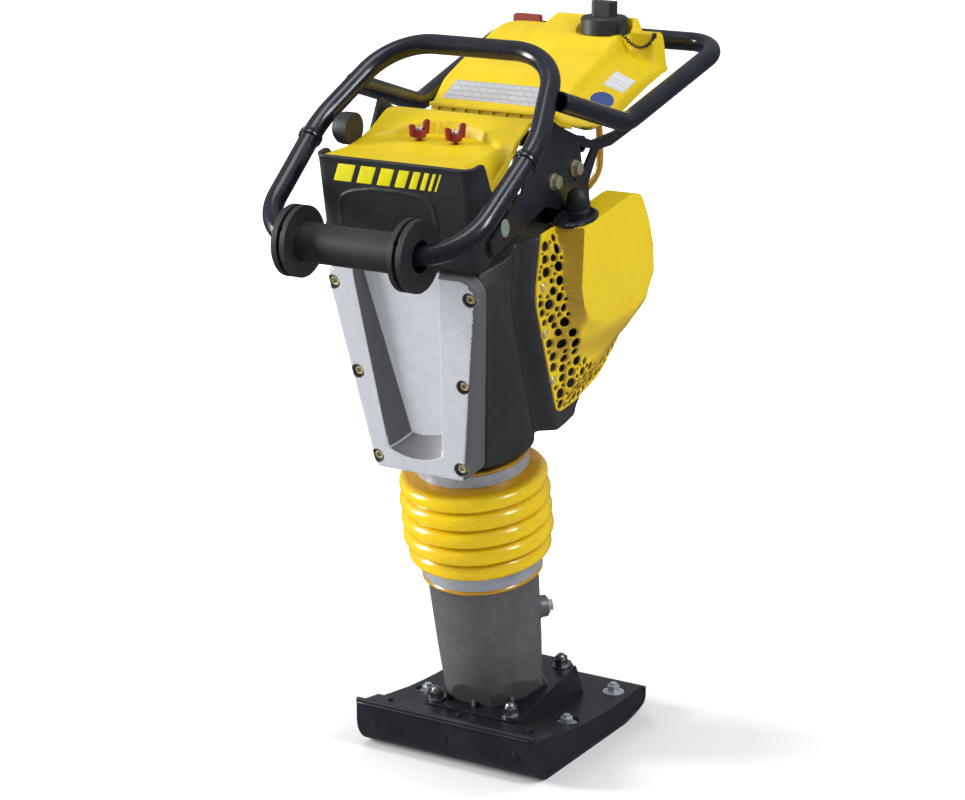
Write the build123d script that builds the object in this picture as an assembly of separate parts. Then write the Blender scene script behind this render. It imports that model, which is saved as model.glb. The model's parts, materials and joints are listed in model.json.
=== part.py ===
from build123d import *
import os
from math import atan2, cos, degrees, pi, radians, sin, sqrt, tan

# Jumping jack rammer, in millimetres. +Z is up, the front of the machine faces -Y,
# and the origin is the point on the ground where the leaning ram axis meets it.

# ---------------------------------------------------------------- driving sizes
LEAN = 9.845                # degrees the ram axis leans forward
SHOE_HALF = 140.0           # half the shoe's width
SOLE = 6.0                  # sole sheet
SHOE_CURL = 42.0            # radius of the shoe's front curl
SHOE_FRONT = -147.0
SHOE_REAR = 173.5

PLATE_S = 71.0              # top face of the leg flange plate, along the ram axis
PLATE_T = 5.0
PLATE_MID = 15.0            # centre of the four leg studs, behind the ram axis
STUD_X = 59.0
STUD_U = 71.0               # half the stud spacing, front to rear

LEG_BORE = 62.0
LEG_TOP = 283.0
LEG_RIM = 76.5
BUSH_LOW = 200.0
BUSH_HIGH = 256.0
GUIDE_R = 60.0
GUIDE_BORE = 55.0
GUIDE_LOW = 150.0
RUNNING = 0.05              # radial running clearance of every shaft and slide

BOX_R = 50.0
BOX_BORE = 46.0
BOX_LOW = 104.0
BOX_HIGH = 318.0
CAP_HIGH = 330.0
ROD_R = 14.0
PISTON_LOW = 190.0
PISTON_HIGH = 206.0

BELLOWS_R = 102.0
GROOVE_R = 90.0
BELLOWS_WALL = 3.0
CONVOLUTIONS = 5
BELLOWS_LOW = 258.0
BELLOWS_HIGH = 436.0
NECK_R = 71.5

CRANK_S = 640.0             # crank gear centre, along the ram axis
CRANK_THROW = 22.0
WRIST_S = 440.0
MODULE = 2.0
GEAR_TEETH = 72
PINION_TEETH = 15
MESH_PLAY = 0.3
ENGINE_S = CRANK_S - MODULE * (GEAR_TEETH + PINION_TEETH) / 2 - MESH_PLAY

COVER_LOW = 456.0
COVER_HIGH = 738.0
COVER_FACE = -125.0         # front plane of the cover
CASE_FRONT = -100.0
CASE_REAR = 60.0
CASE_WALL = 9.0
GUARD_X = 140.0             # outer face of the guard plate
GUARD_T = 3.0

TUBE_R = 13.0
TUBE_WALL = 3.0
ROLLER_Y = -345.0
ROLLER_Z = 753.8
PLATE_X = 118.0             # inner face of the handle side plates
SIDE_T = 5.0
MOUNT_U = 105.0             # rubber mounts, behind the ram axis
MOUNT_S = 753.0
PANEL_LOW = 746.0             # lower edge of the front panel, clear of the cover when the handle rocks
OUTLET_X = 60.0               # fuel outlet under the tank
OUTLET_Y = 150.0
OUTLET_LOW = 879.0
HOSE_GAP = 7.0             # clear height between the hose and the outlet, for the handle's rocking

RAM = Plane(origin=(0, 0, 0), x_dir=(1, 0, 0), z_dir=(0, -sin(radians(LEAN)), cos(radians(LEAN))))
WORLD = Plane.XY
BOTTOM = (Align.CENTER, Align.CENTER, Align.MIN)

os.makedirs("parts", exist_ok=True)


# ---------------------------------------------------------------- helpers
def write(node, shape, frame=WORLD):
    """Writes one node; frame RAM stands a shape modelled along Z on the leaning ram axis."""
    placed = frame.location * shape
    export_step(placed, "parts/" + node + ".step")


def group(shapes):
    return Compound(children=list(shapes))


def drum(radius, low, high, x=0.0, y=0.0):
    return Pos(x, y, low) * Cylinder(radius, high - low, align=BOTTOM)


def ring(outer, inner, low, high, x=0.0, y=0.0):
    return drum(outer, low, high, x, y) - drum(inner, low - 1, high + 1, x, y)


def drum_y(radius, low, high, x=0.0, z=0.0):
    return Pos(x, low, z) * Rot(-90, 0, 0) * Cylinder(radius, high - low, align=BOTTOM)


def ring_y(outer, inner, low, high, x=0.0, z=0.0):
    return drum_y(outer, low, high, x, z) - drum_y(inner, low - 1, high + 1, x, z)


def drum_x(radius, low, high, y=0.0, z=0.0):
    return Pos(low, y, z) * Rot(0, 90, 0) * Cylinder(radius, high - low, align=BOTTOM)


def ring_x(outer, inner, low, high, y=0.0, z=0.0):
    return drum_x(outer, low, high, y, z) - drum_x(inner, low - 1, high + 1, y, z)


def slab_x(points, low, high):
    """An outline of (y, z) points, pushed from x = low to x = high."""
    outline = Plane.YZ * make_face(Polyline(*points, close=True))
    return Pos(low, 0, 0) * extrude(outline, high - low, dir=(1, 0, 0))


def slab_y(points, low, high):
    """An outline of (x, z) points, pushed from y = low to y = high."""
    outline = Plane.XZ * make_face(Polyline(*points, close=True))
    return Pos(0, low, 0) * extrude(outline, high - low, dir=(0, 1, 0))


def slab_z(points, low, high):
    outline = make_face(Polyline(*points, close=True))
    return Pos(0, 0, low) * extrude(outline, high - low, dir=(0, 0, 1))


def block(x0, x1, y0, y1, z0, z1):
    return Pos((x0 + x1) / 2, (y0 + y1) / 2, (z0 + z1) / 2) * Box(x1 - x0, y1 - y0, z1 - z0)


def loft_between(low_points, low, high_points, high):
    """A straight-sided block between two outlines that lie across Z."""
    first = Pos(0, 0, low) * make_face(Polyline(*low_points, close=True))
    last = Pos(0, 0, high) * make_face(Polyline(*high_points, close=True))
    return loft([first, last], ruled=True)


def hexagon(flats, low, high, x=0.0, y=0.0):
    head = extrude(RegularPolygon(flats / 2, 6, major_radius=False), high - low)
    return Pos(x, y, low) * head


def mirrored(shape):
    return mirror(shape, about=Plane.YZ)


def rounded_path(points, radii):
    """A wire through the points with an arc of the given radius at each inner corner."""
    corners = [Vector(*point) for point in points]
    edges = []
    start = corners[0]
    for index, radius in enumerate(radii, start=1):
        here = corners[index]
        back = (corners[index - 1] - here).normalized()
        ahead = (corners[index + 1] - here).normalized()
        half_angle = radians(back.get_angle(ahead)) / 2
        reach = radius / tan(half_angle)
        into = here + back * reach
        out = here + ahead * reach
        centre = here + (back + ahead).normalized() * (radius / sin(half_angle))
        middle = centre + (here - centre).normalized() * radius
        edges.append(Edge.make_line(start, into))
        edges.append(Edge.make_three_point_arc(into, middle, out))
        start = out
    edges.append(Edge.make_line(start, corners[-1]))
    return Wire(edges)


def pipe(path, outer, inner=0.0):
    """A round bar or tube along a path."""
    across = Plane(origin=path @ 0, z_dir=path % 0)
    section = across * Circle(outer)
    if inner:
        section = section - across * Circle(inner)
    return sweep(section, path=path)


def gear(teeth, low, high, turn=0.0):
    """A spur gear about the Y direction with straight-flanked teeth."""
    pitch = MODULE * teeth / 2
    points = []
    for tooth in range(teeth):
        middle = 2 * pi * tooth / teeth + radians(turn)
        for radius, share in ((pitch - 2.3, -0.36), (pitch + 1.7, -0.14), (pitch + 1.7, 0.14), (pitch - 2.3, 0.36)):
            angle = middle + share * 2 * pi / teeth
            points.append((radius * cos(angle), radius * sin(angle)))
    return slab_y(points, low, high)


def coil(radius, wire, turns, low, high):
    """A coil spring whose wire stays between two heights."""
    height = high - low - 2 * wire
    line = Helix(pitch=height / turns, height=height, radius=radius)
    across = Plane(origin=line @ 0, z_dir=line % 0)
    return Pos(0, 0, low + wire) * sweep(across * Circle(wire), path=line, is_frenet=True)


# ---------------------------------------------------------------- shoe
TOP_LINE = ((-95, 54.5), (-62, 49.5), (-13, 43.0), (25, 40.0), (64, 38.0), (117, 38.0), (166, 40.0))
SOLE_BOLTS = ((-112, -7), (112, -7), (-112, 128), (112, 128))


def shoe_outline(inset):
    """Side view of the curled shoe, drawn inside its sole's lower surface by inset."""
    front = SHOE_FRONT + inset
    curl = SHOE_CURL - inset
    centre_y = SHOE_FRONT + SHOE_CURL
    diagonal = curl * cos(radians(45))
    path = [
        Line((front, 66 - inset), (front, SHOE_CURL)),
        ThreePointArc((front, SHOE_CURL), (centre_y - diagonal, SHOE_CURL - diagonal), (centre_y, inset)),
        Polyline((centre_y, inset), (112, inset), (153, 7 + inset), (168 - inset / 2, 12 + inset / 2),
                 (SHOE_REAR - inset, 20), (SHOE_REAR - inset, 36), (166 - inset, 40)),
        Polyline((166 - inset, 40), *reversed(TOP_LINE[:-1])),
        Line(TOP_LINE[0], (front, 66 - inset)),
    ]
    return Plane.YZ * make_face(path)


def shoe_solid(inset, half_width):
    return extrude(shoe_outline(inset), half_width, both=True, dir=(1, 0, 0))


def sole_fixings():
    """Domed rivets along the curled lip, on the front face and on top of it."""
    rivets = []
    for x in (-111, 0, 111):
        front = drum_y(2.5, SHOE_FRONT - 1, SHOE_FRONT + 16, x, 40) + drum_y(5, SHOE_FRONT - 1.6, SHOE_FRONT, x, 40)
        top = drum(2.5, 48, 62.4, x, -106) + drum(5, 61.9, 63.8, x, -106)
        rivets += [front, top]
    return rivets


def sole_bolt(x, y, seat):
    """A sole bolt with its washer and nut, standing on the core."""
    low = 2.0 if y < 100 else 5.5
    shank = drum(5, low, seat + 15, x, y) + drum(8, low, low + 3, x, y)
    washer = ring(15.5, 5, seat, seat + 2.5, x, y)
    nut = hexagon(16, seat + 2.5, seat + 11, x, y) - drum(5, seat, seat + 20, x, y)
    return [shank, washer, nut]


def shoe():
    outer = shoe_solid(0, SHOE_HALF)
    inner = shoe_solid(SOLE, SHOE_HALF + 5)
    fixings = sole_fixings()
    bolts = []
    pockets = []
    for x, y in SOLE_BOLTS:
        seat = 35.5 if y < 100 else 36.0
        bolts += sole_bolt(x, y, seat)
        pockets.append(drum(17, seat, 70, x, y))
        pockets.append(drum(5, -5, 60, x, y))
        pockets.append(drum(8, -5, 8.5 if y > 100 else 5, x, y))
    sole = outer - inner
    keep_low = slab_x(((-200, -5), (200, -5), (200, 36), (-90, 36), (-90, 80), (-200, 80)), -200, 200)
    sole = sole & keep_low
    lip = slab_x(((SHOE_FRONT, 60), (SHOE_FRONT, 66), (-92, 58.0), (-92, 53.5), (-140, 60)), -SHOE_HALF, SHOE_HALF)
    bead = drum_x(3.5, -SHOE_HALF, SHOE_HALF, SHOE_FRONT + 2.5, 68.5)
    sole = sole + lip + bead
    core = shoe_solid(SOLE, SHOE_HALF - 1) - sole
    for cut in pockets + fixings:
        sole = sole - cut
        core = core - cut
    write("sole_plate", sole)
    write("shoe_core", core)
    write("sole_rivets", group(fixings))
    write("sole_bolts", group(bolts))
    return sole, core


def pedestal(sole, core):
    """The wedge that leans the leg forward, with the four studs and nuts of the leg's flange plate."""
    studs = []
    stud_cuts = []
    for side in (-1, 1):
        for end in (-1, 1):
            x = side * STUD_X
            u = PLATE_MID + end * STUD_U
            studs.append(drum(6, PLATE_S - PLATE_T - 2, PLATE_S + 13, x, u))
            studs.append(ring(13, 6, PLATE_S, PLATE_S + 2.5, x, u))
            nut = hexagon(18, PLATE_S + 2.5, PLATE_S + 13, x, u)
            dome = drum(8, PLATE_S + 13, PLATE_S + 14.5, x, u)
            cap = Pos(x, u, PLATE_S + 12.5) * Sphere(7.4)
            above = block(x - 20, x + 20, u - 20, u + 20, PLATE_S + 12.5, PLATE_S + 40)
            nut = nut + dome + (cap & above)
            studs.append(nut - drum(6, PLATE_S, PLATE_S + 13, x, u))
            stud_cuts.append(drum(6, PLATE_S - PLATE_T - 2, PLATE_S + 14, x, u))
    x = STUD_X + 18
    front = PLATE_MID - STUD_U - 16
    rear = PLATE_MID + STUD_U + 18
    plate = slab_z(((-x + 14, front), (x - 14, front), (x, front + 14), (x, rear - 14), (x - 14, rear),
                    (-x + 14, rear), (-x, rear - 14), (-x, front + 14)), PLATE_S - PLATE_T, PLATE_S)
    top = ((-x + 3, front + 4), (x - 3, front + 4), (x - 3, rear - 4), (-x + 3, rear - 4))
    foot = ((-x - 4, front - 6), (x + 4, front - 6), (x + 4, rear + 2), (-x - 4, rear + 2))
    wedge = RAM.location * loft_between(foot, 10, top, PLATE_S - PLATE_T)
    wedge = wedge - block(-200, 200, -200, 300, -50, 30) - sole - core
    wedge = max(wedge.solids(), key=lambda solid: solid.volume)
    for cut in stud_cuts:
        plate = plate - cut
        wedge = wedge - RAM.location * cut
    write("leg_clamp_plate", plate, RAM)
    write("pedestal_wedge", wedge)
    write("leg_nuts", group(studs), RAM)


# ---------------------------------------------------------------- leg and spring pack
def leg():
    base = ((-28, -48), (28, -48), (44, -30), (62, -2), (62, 32), (44, 62), (28, 78),
            (-28, 78), (-44, 62), (-62, 32), (-62, -2), (-44, -30))
    low_face = Pos(0, 0, PLATE_S) * make_face(Polyline(*base, close=True))
    shin = [Pos(0, 0, 108) * Circle(69.5), Pos(0, 0, 150) * Circle(71.5), Pos(0, 0, 235) * Circle(75)]
    body = loft([low_face, shin[0]], ruled=True)
    body = body + loft(shin) + drum(75, 235, LEG_TOP)
    rim = Pos(0, 0, 246) * loft([Circle(75), Pos(0, 0, 4) * Circle(LEG_RIM)])
    body = body + rim + drum(LEG_RIM, 250, LEG_TOP)
    gussets = [block(-4, 4, -60, -40, PLATE_S, 90)]
    boss_turn = Rot(0, 0, 40)
    boss = boss_turn * drum_x(15, 60, 84, 0, 185)
    flare = boss_turn * (Pos(66, 0, 185) * Rot(0, 90, 0) * Cone(22, 15, 12, align=BOTTOM))
    body = body + gussets[0] + boss + flare
    body = body - drum(LEG_BORE, BOX_LOW, LEG_TOP + 5)
    body = body - drum(64, BUSH_LOW, LEG_TOP + 5)
    plug_hole = boss_turn * drum_x(7, 55, 90, 0, 185)
    body = body - plug_hole
    write("leg_cylinder", body, RAM)
    plug = boss_turn * (drum_x(7, 66, 84, 0, 185) + drum_x(11, 84, 86, 0, 185))
    head = boss_turn * (Pos(86, 0, 185) * Rot(0, 90, 0) * extrude(RegularPolygon(7.5, 6, major_radius=False), 5))
    write("oil_plug", plug + head, RAM)
    write("leg_guide_bush", ring(64, GUIDE_R + RUNNING, BUSH_LOW, BUSH_HIGH), RAM)


def spring_pack():
    box = drum(BOX_R, BOX_LOW, BOX_HIGH) - drum(BOX_BORE, BOX_LOW + 8, BOX_HIGH + 1)
    write("spring_box", box, RAM)
    cap = drum(BOX_R, BOX_HIGH, CAP_HIGH) + drum(BOX_BORE, BOX_HIGH - 6, BOX_HIGH)
    write("spring_box_cap", cap - drum(ROD_R + RUNNING, BOX_LOW, CAP_HIGH + 5), RAM)
    low = BOX_LOW + 8
    write("lower_springs", group([coil(37, 6, 4.5, low, PISTON_LOW), coil(22, 4, 6.5, low, PISTON_LOW)]), RAM)
    top = BOX_HIGH - 6
    write("upper_springs", group([coil(37, 6, 5.5, PISTON_HIGH, top), coil(24, 4, 8.5, PISTON_HIGH, top)]), RAM)
    piston = drum(BOX_BORE - RUNNING, PISTON_LOW, PISTON_HIGH) - drum(10, PISTON_LOW - 1, PISTON_HIGH + 1)
    write("spring_piston", piston, RAM)
    rod = drum(ROD_R, PISTON_HIGH, 398) + drum(10, PISTON_LOW - 12, PISTON_HIGH)
    write("piston_rod", rod, RAM)


def bellows():
    """Five round convolutions between two cuffs, with the same wall everywhere."""
    low = 285.0
    high = 411.0
    pitch = (high - low) / CONVOLUTIONS

    def profile(offset):
        points = []
        steps = 8
        for index in range(CONVOLUTIONS * steps + 1):
            along = low + pitch * index / steps
            wave = abs(sin(pi * index / steps)) ** 0.8
            points.append((GROOVE_R + offset + (BELLOWS_R - GROOVE_R) * wave, along))
        return points

    lower_cuff = LEG_RIM + BELLOWS_WALL
    upper_cuff = NECK_R + BELLOWS_WALL
    outer = [(LEG_RIM, BELLOWS_LOW), (82, BELLOWS_LOW), (82, 263), (lower_cuff, 263), (lower_cuff, low - 2)]
    outer += profile(0)
    outer += [(upper_cuff, high + 3), (upper_cuff, BELLOWS_HIGH - 4), (77, BELLOWS_HIGH - 4), (77, BELLOWS_HIGH)]
    inner = [(NECK_R, BELLOWS_HIGH), (NECK_R, high + 3)]
    inner += reversed(profile(-BELLOWS_WALL))
    inner += [(LEG_RIM, low - 2)]
    face = Plane.XZ * make_face(Polyline(*outer, *inner, close=True))
    write("bellows", revolve(face, Axis.Z), RAM)


def band(inner, low, high, node):
    """A hose clamp with its screw housing at the back."""
    strap = ring(inner + 1.5, inner, low, high)
    middle = (low + high) / 2
    housing = block(-9, 9, inner + 1.5, inner + 8, middle - 6, middle + 6)
    seat = block(-11, 11, inner + 0.8, inner + 2.2, middle - 7, middle + 7) - drum(inner, low - 5, high + 5)
    screw = drum_x(4, 9, 20, inner + 5, middle) + drum_x(5, 18, 22, inner + 5, middle)
    write(node, strap + seat + housing + screw, RAM)


# ---------------------------------------------------------------- crankcase
def cover_outline(grow=0.0):
    """Front view of the crankcase flange, as (x, s) points."""
    right = [(70, COVER_LOW), (75 + grow, COVER_LOW + 8), (112 + grow, 720), (98 + grow, COVER_HIGH + grow)]
    return right + [(-x, s) for x, s in reversed(right)]


COVER_SCREWS = [(side * x, s) for x, s in ((63, 473), (79, 591), (100.5, 712)) for side in (-1, 1)]


def front_cover():
    cover = slab_y(cover_outline(), COVER_FACE, CASE_FRONT)
    rim = cover.faces().sort_by(Axis.Y)[0].edges()
    cover = chamfer(rim, 3)
    hollow = slab_y([(-58, 478), (58, 478), (86, 700), (-86, 700)], CASE_FRONT - 10, CASE_FRONT)
    cover = cover - hollow
    mouth = Plane.XZ * make_face(Polyline((-35, 512), (44, 512), (44, 760), (-72, 760), (-64, 716), close=True))
    floor = Plane.XZ * make_face(Polyline((-5, 542), (38, 542), (38, 760), (-56, 760), (-50, 716), close=True))
    recess = loft([Pos(0, COVER_FACE - 0.1, 0) * mouth, Pos(0, COVER_FACE + 11, 0) * floor], ruled=True)
    cover = cover - recess
    for x, s in COVER_SCREWS:
        cover = cover - drum_y(9.5, COVER_FACE - 5, COVER_FACE + 9, x, s)
        cover = cover - drum_y(4, COVER_FACE - 5, CASE_FRONT + 5, x, s)
    write("front_cover", cover, RAM)
    screws = []
    for x, s in COVER_SCREWS:
        head = drum_y(6.5, COVER_FACE + 1, COVER_FACE + 9, x, s)
        socket = Pos(x, COVER_FACE, s) * Rot(-90, 0, 0) * extrude(RegularPolygon(2.6, 6), 6)
        screws.append(head + drum_y(4, COVER_FACE + 9, CASE_FRONT + 14, x, s) - socket)
    write("cover_screws", group(screws), RAM)


GUARD_OUTLINE = ((-6, 759), (-34, 682), (-4, 510), (45, 508), (113, 517), (169, 545), (218, 585),
                 (251, 583), (262, 607), (265, 644), (220, 735), (163, 761))
GUARD_SCREWS = ((-16, 693), (-18, 630), (-8, 561))


def crankcase():
    shell = slab_y(cover_outline(), CASE_FRONT, CASE_FRONT + 10)
    waist = [(70, COVER_LOW), (72, COVER_LOW + 8), (103, 720), (92, COVER_HIGH)]
    waist += [(-x, s) for x, s in reversed(waist)]
    shell = shell + slab_y(waist, CASE_FRONT + 10, CASE_REAR)
    shell = shell + drum(NECK_R, 404, 470)
    shell = shell + loft([Pos(0, 0, 437) * Circle(NECK_R), Pos(0, 0, 470) * Circle(84)])
    near = ((58, 736), (-88, 726), (-86, 600), (-62, 478), (58, 470))
    far = ((58, 744), (-7, 757), (-36, 682), (-6, 508), (20, 500), (58, 500))
    wing_near = Pos(96, 0, 0) * (Plane.YZ * make_face(Polyline(*near, (58, 480), close=True)))
    wing_far = Pos(GUARD_X - GUARD_T, 0, 0) * (Plane.YZ * make_face(Polyline(*far, close=True)))
    wing = loft([wing_near, wing_far], ruled=True)
    scoop_near = Pos(112, 0, 0) * (Plane.YZ * make_face(Polyline((80, 730), (-40, 718), (-48, 600), (-20, 500),
                                                                 (80, 500), close=True)))
    scoop_far = Pos(GUARD_X, 0, 0) * (Plane.YZ * make_face(Polyline((80, 738), (-2, 751), (-29, 682), (0, 515),
                                                                    (80, 515), close=True)))
    wing = wing - loft([scoop_near, scoop_far], ruled=True)
    shell = shell + wing
    cavity = [(-58, 478), (58, 478), (90, 712), (80, 726), (-80, 726), (-90, 712)]
    shell = shell - slab_y(cavity, CASE_FRONT - 1, CASE_REAR - 15)
    shell = shell - drum(GUIDE_R, 400, 448) - drum(58, 447, 500)
    shell = shell - drum_y(30, CASE_REAR - 20, CASE_REAR + 5, 0, CRANK_S)
    shell = shell - drum_y(20, CASE_REAR - 20, CASE_REAR + 5, 0, ENGINE_S)
    ear = ((20, 734), (62, 734), (128, 728), (132, 752), (120, 776), (90, 778))
    for side in (-1, 1):
        low, high = sorted((side * 78, side * 92))
        lug = slab_x(ear, low, high)
        shell = shell + lug
        shell = shell - drum_x(6, *sorted((side * 70, side * 95)), MOUNT_U, MOUNT_S)
    for x, s in COVER_SCREWS:
        shell = shell - drum_y(4, CASE_FRONT - 5, CASE_FRONT + 14, x, s)
    for u, s in GUARD_SCREWS:
        boss = drum_x(6.5, 112, GUARD_X - GUARD_T, u, s)
        shell = shell + boss
        shell = shell - drum_x(3, 118, GUARD_X + 10, u, s)
    write("crankcase", shell, RAM)


def guide():
    tube = ring(GUIDE_R, GUIDE_BORE, GUIDE_LOW, 447)
    write("guide_cylinder", tube, RAM)


def crank_train():
    """Crank gear with its stub crank pin, connecting rod, crosshead and wrist pin."""
    wheel = gear(GEAR_TEETH, 25, 40) - ring_y(58, 26, 34, 41)
    wheel = Pos(0, 0, CRANK_S) * wheel
    wheel = wheel + drum_y(15, 25, 60, 0, CRANK_S)
    wheel = wheel + drum_y(10, 11, 26, CRANK_THROW, CRANK_S) + drum_y(17, 20, 26, CRANK_THROW, CRANK_S)
    write("crank_gear", wheel, RAM)
    tilt = degrees(atan2(CRANK_THROW, CRANK_S - WRIST_S))
    length = sqrt(CRANK_THROW ** 2 + (CRANK_S - WRIST_S) ** 2)
    shank = slab_y([(-9, 0), (9, 0), (13, length), (-13, length)], -5, 5)
    rod = shank + drum_y(17, -10, 10) + drum_y(24, -10, 10, 0, length)
    rod = rod - drum_y(8 + RUNNING, -20, 20) - drum_y(13, -20, 20, 0, length)
    web = slab_y([(-4, 26), (4, 26), (6, length - 32), (-6, length - 32)], -6, -2)
    web = web + slab_y([(-4, 26), (4, 26), (6, length - 32), (-6, length - 32)], 2, 6)
    write("conrod", Pos(0, 0, WRIST_S) * Rot(0, tilt, 0) * (rod - web), RAM)
    head = drum(GUIDE_BORE - RUNNING, 394, 430)
    ears = block(-16, 16, -34, -12, 425, WRIST_S + 14) + block(-16, 16, 12, 34, 425, WRIST_S + 14)
    head = head + ears - drum_y(8, -60, 60, 0, WRIST_S) - drum(ROD_R, 380, 398)
    head = head - drum(20, 414, 431)
    write("crosshead", head, RAM)
    write("wrist_pin", drum_y(8, -34, 34, 0, WRIST_S), RAM)
    outer = ring_y(30, 15 + RUNNING, CASE_REAR - 15, CASE_REAR, 0, CRANK_S)
    inner = ring_y(20, 9 + RUNNING, CASE_REAR - 15, CASE_REAR, 0, ENGINE_S)
    write("crank_bearings", group([outer, inner]), RAM)


def clutch():
    pinion = gear(PINION_TEETH, 24, 42, 90 + 180 / PINION_TEETH)
    shaft = pinion + drum_y(9, 20, 66)
    write("pinion_shaft", Pos(0, 0, ENGINE_S) * shaft, RAM)
    bowl = ring_y(52, 46, 64, 92) + ring_y(52, 9, 63, 67)
    write("clutch_drum", Pos(0, 0, ENGINE_S) * bowl, RAM)
    shoes = []
    for side in (-1, 1):
        pad = ring_y(44.5, 22, 70, 90)
        gap = block(-8, 8, 60, 100, -60, 60)
        half = block(*sorted((0, side * 60)), 60, 100, -60, 60)
        shoes.append(Pos(0, 0, ENGINE_S) * ((pad & half) - gap))
    write("clutch_shoes", group(shoes), RAM)
    spider = ring_y(20, 10, 70, 90) + block(-7, 7, 72, 88, 16, 42) + block(-7, 7, 72, 88, -42, -16)
    shaft = drum_y(10, 69, 214) + spider - ring_y(60, 44, 60, 100)
    write("engine_shaft", Pos(0, 0, ENGINE_S) * shaft, RAM)
    wheel = ring_y(60, 10, 194, 204)
    for blade in range(16):
        vane = Rot(0, blade * 360 / 16, 0) * block(34, 58, 180, 194.5, -1.2, 1.2)
        wheel = wheel + vane
    write("flywheel", Pos(0, 0, ENGINE_S) * wheel, RAM)


# ---------------------------------------------------------------- engine
def engine():
    low = ENGINE_S - 46
    sump = block(-52, 52, 98, 176, low, ENGINE_S + 58)
    sump = fillet(sump.edges().filter_by(Axis.Y), 14)
    flange = ring_y(64, 53, CASE_REAR, 98, 0, ENGINE_S)
    sump = sump + flange - drum_y(10.5, 90, 190, 0, ENGINE_S) - drum_y(40, 106, 168, 0, ENGINE_S)
    write("engine_block", sump, RAM)
    bottom = ENGINE_S + 58
    barrel = block(-34, 34, 104, 172, bottom, bottom + 78)
    for fin in range(9):
        level = bottom + 6 + fin * 8
        plate = block(-46, 46, 92, 175, level, level + 2.5)
        barrel = barrel + plate
    barrel = barrel - drum(26, bottom - 1, bottom + 60, 0, 138)
    write("cylinder_barrel", barrel, RAM)
    top = bottom + 78
    lid = fillet(block(-38, 38, 100, 176, top, top + 34).edges().filter_by(Axis.Z), 12)
    lid = fillet(lid.faces().sort_by(Axis.Z)[-1].edges(), 7)
    write("rocker_cover", lid, RAM)
    can = fillet(block(62, 104, 96, 190, 598, 712).edges().filter_by(Axis.X), 16)
    port = block(46, 62, 120, 150, 640, 664)
    spout = drum_x(9, 104, 116, 120, 612)
    write("muffler", can - block(66, 100, 100, 186, 602, 708) + port + spout - drum_x(6, 90, 120, 120, 612), RAM)
    carb = block(-84, -46, 118, 152, 630, 668) + drum_x(20, -100, -84, 135, 649)
    bowl = drum(17, 606, 630, -66, 135)
    carb = carb + bowl + drum_y(5, 150, 164, -66, 660) - drum_x(13, -101, -45, 135, 649)
    write("carburettor", carb, RAM)
    case = drum_y(72, 186, 236, 0, ENGINE_S)
    case = fillet(case.faces().sort_by(Axis.Y)[-1].edges(), 12)
    hollow = drum_y(68, 170, 226, 0, ENGINE_S)
    case = case - hollow
    skirt = ring_y(72, 66, 177, 186, 0, ENGINE_S)
    case = case + skirt
    for slot in range(12):
        cut = Rot(0, slot * 30, 0) * block(30, 54, 220, 240, -3, 3)
        case = case - Pos(0, 0, ENGINE_S) * cut
    case = case - drum_x(6, -80, -40, 208, ENGINE_S + 30)
    eyelet = ring_x(9, 6, -70, -62, 208, ENGINE_S + 30)
    write("recoil_housing", case + eyelet, RAM)
    grip = Pos(-84, 208, ENGINE_S + 30) * Cylinder(7, 46)
    grip = fillet(grip.edges(), 3)
    stem = drum_x(2.5, -80, -56, 208, ENGINE_S + 30)
    write("recoil_handle", grip + stem, RAM)


def guard():
    """The yellow side guard: a plate, a raised closed block and cooling holes."""
    inner = GUARD_X - GUARD_T
    plate = slab_x(GUARD_OUTLINE, inner, GUARD_X)
    near = ((22, 758), (0, 686), (2, 628), (45, 586), (200, 596), (240, 640), (215, 735), (165, 759))
    bottom = Pos(inner, 0, 0) * (Plane.YZ * make_face(Polyline(*near, close=True)))
    crown = ((34, 754), (17, 686), (20, 633), (70, 606), (196, 612), (210, 668), (195, 715), (165, 754))
    top = Pos(180, 0, 0) * (Plane.YZ * make_face(Polyline(*crown, close=True)))
    hood = loft([bottom, top], ruled=True)
    in_near = [(u * 0.96 + 4, (s - 670) * 0.955 + 670) for u, s in near]
    in_crown = [(u * 0.95 + 5, (s - 670) * 0.95 + 670) for u, s in crown]
    void_low = Pos(inner - 1, 0, 0) * (Plane.YZ * make_face(Polyline(*in_near, close=True)))
    void_top = Pos(177, 0, 0) * (Plane.YZ * make_face(Polyline(*in_crown, close=True)))
    shape = plate + hood - loft([void_low, void_top], ruled=True)
    notch = drum_x(22, 100, 200, 118, 757) + block(100, 200, 30, 118, 735, 800)
    shape = shape - notch
    for u, s in GUARD_SCREWS:
        shape = shape - drum_x(3, 100, 200, u, s)
    for row in range(8):
        for column in range(2 if row < 6 else 3):
            u = -18 + column * 13 + (row % 2) * 5
            s = 742 - row * 26
            if (u - 2) > -36 + abs(s - 682) * 0.3 and all(abs(s - t) > 10 for v, t in GUARD_SCREWS):
                shape = shape - drum_x(3.5, 130, 141, u, s)
    for row in range(4):
        for column in range(11):
            u = 14 + column * 17 + (row % 2) * 8
            s = 527 + row * 14 + max(0, u - 90) * 0.28
            shape = shape - drum_x(4.2, 130, 142, u, s)
    write("muffler_guard", shape, RAM)
    screws = []
    for u, s in GUARD_SCREWS:
        screws.append(drum_x(3, 120, GUARD_X, u, s) + drum_x(7, GUARD_X, GUARD_X + 3, u, s))
    write("guard_screws", group(screws), RAM)


# ---------------------------------------------------------------- handle frame
def hoop_half_points():
    return [(0, ROLLER_Y, ROLLER_Z), (148.5, ROLLER_Y, ROLLER_Z), (161.0, -181.0, 873.0),
            (121.0, -64.0, 963.5), (0, -64.0, 963.5)]


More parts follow.
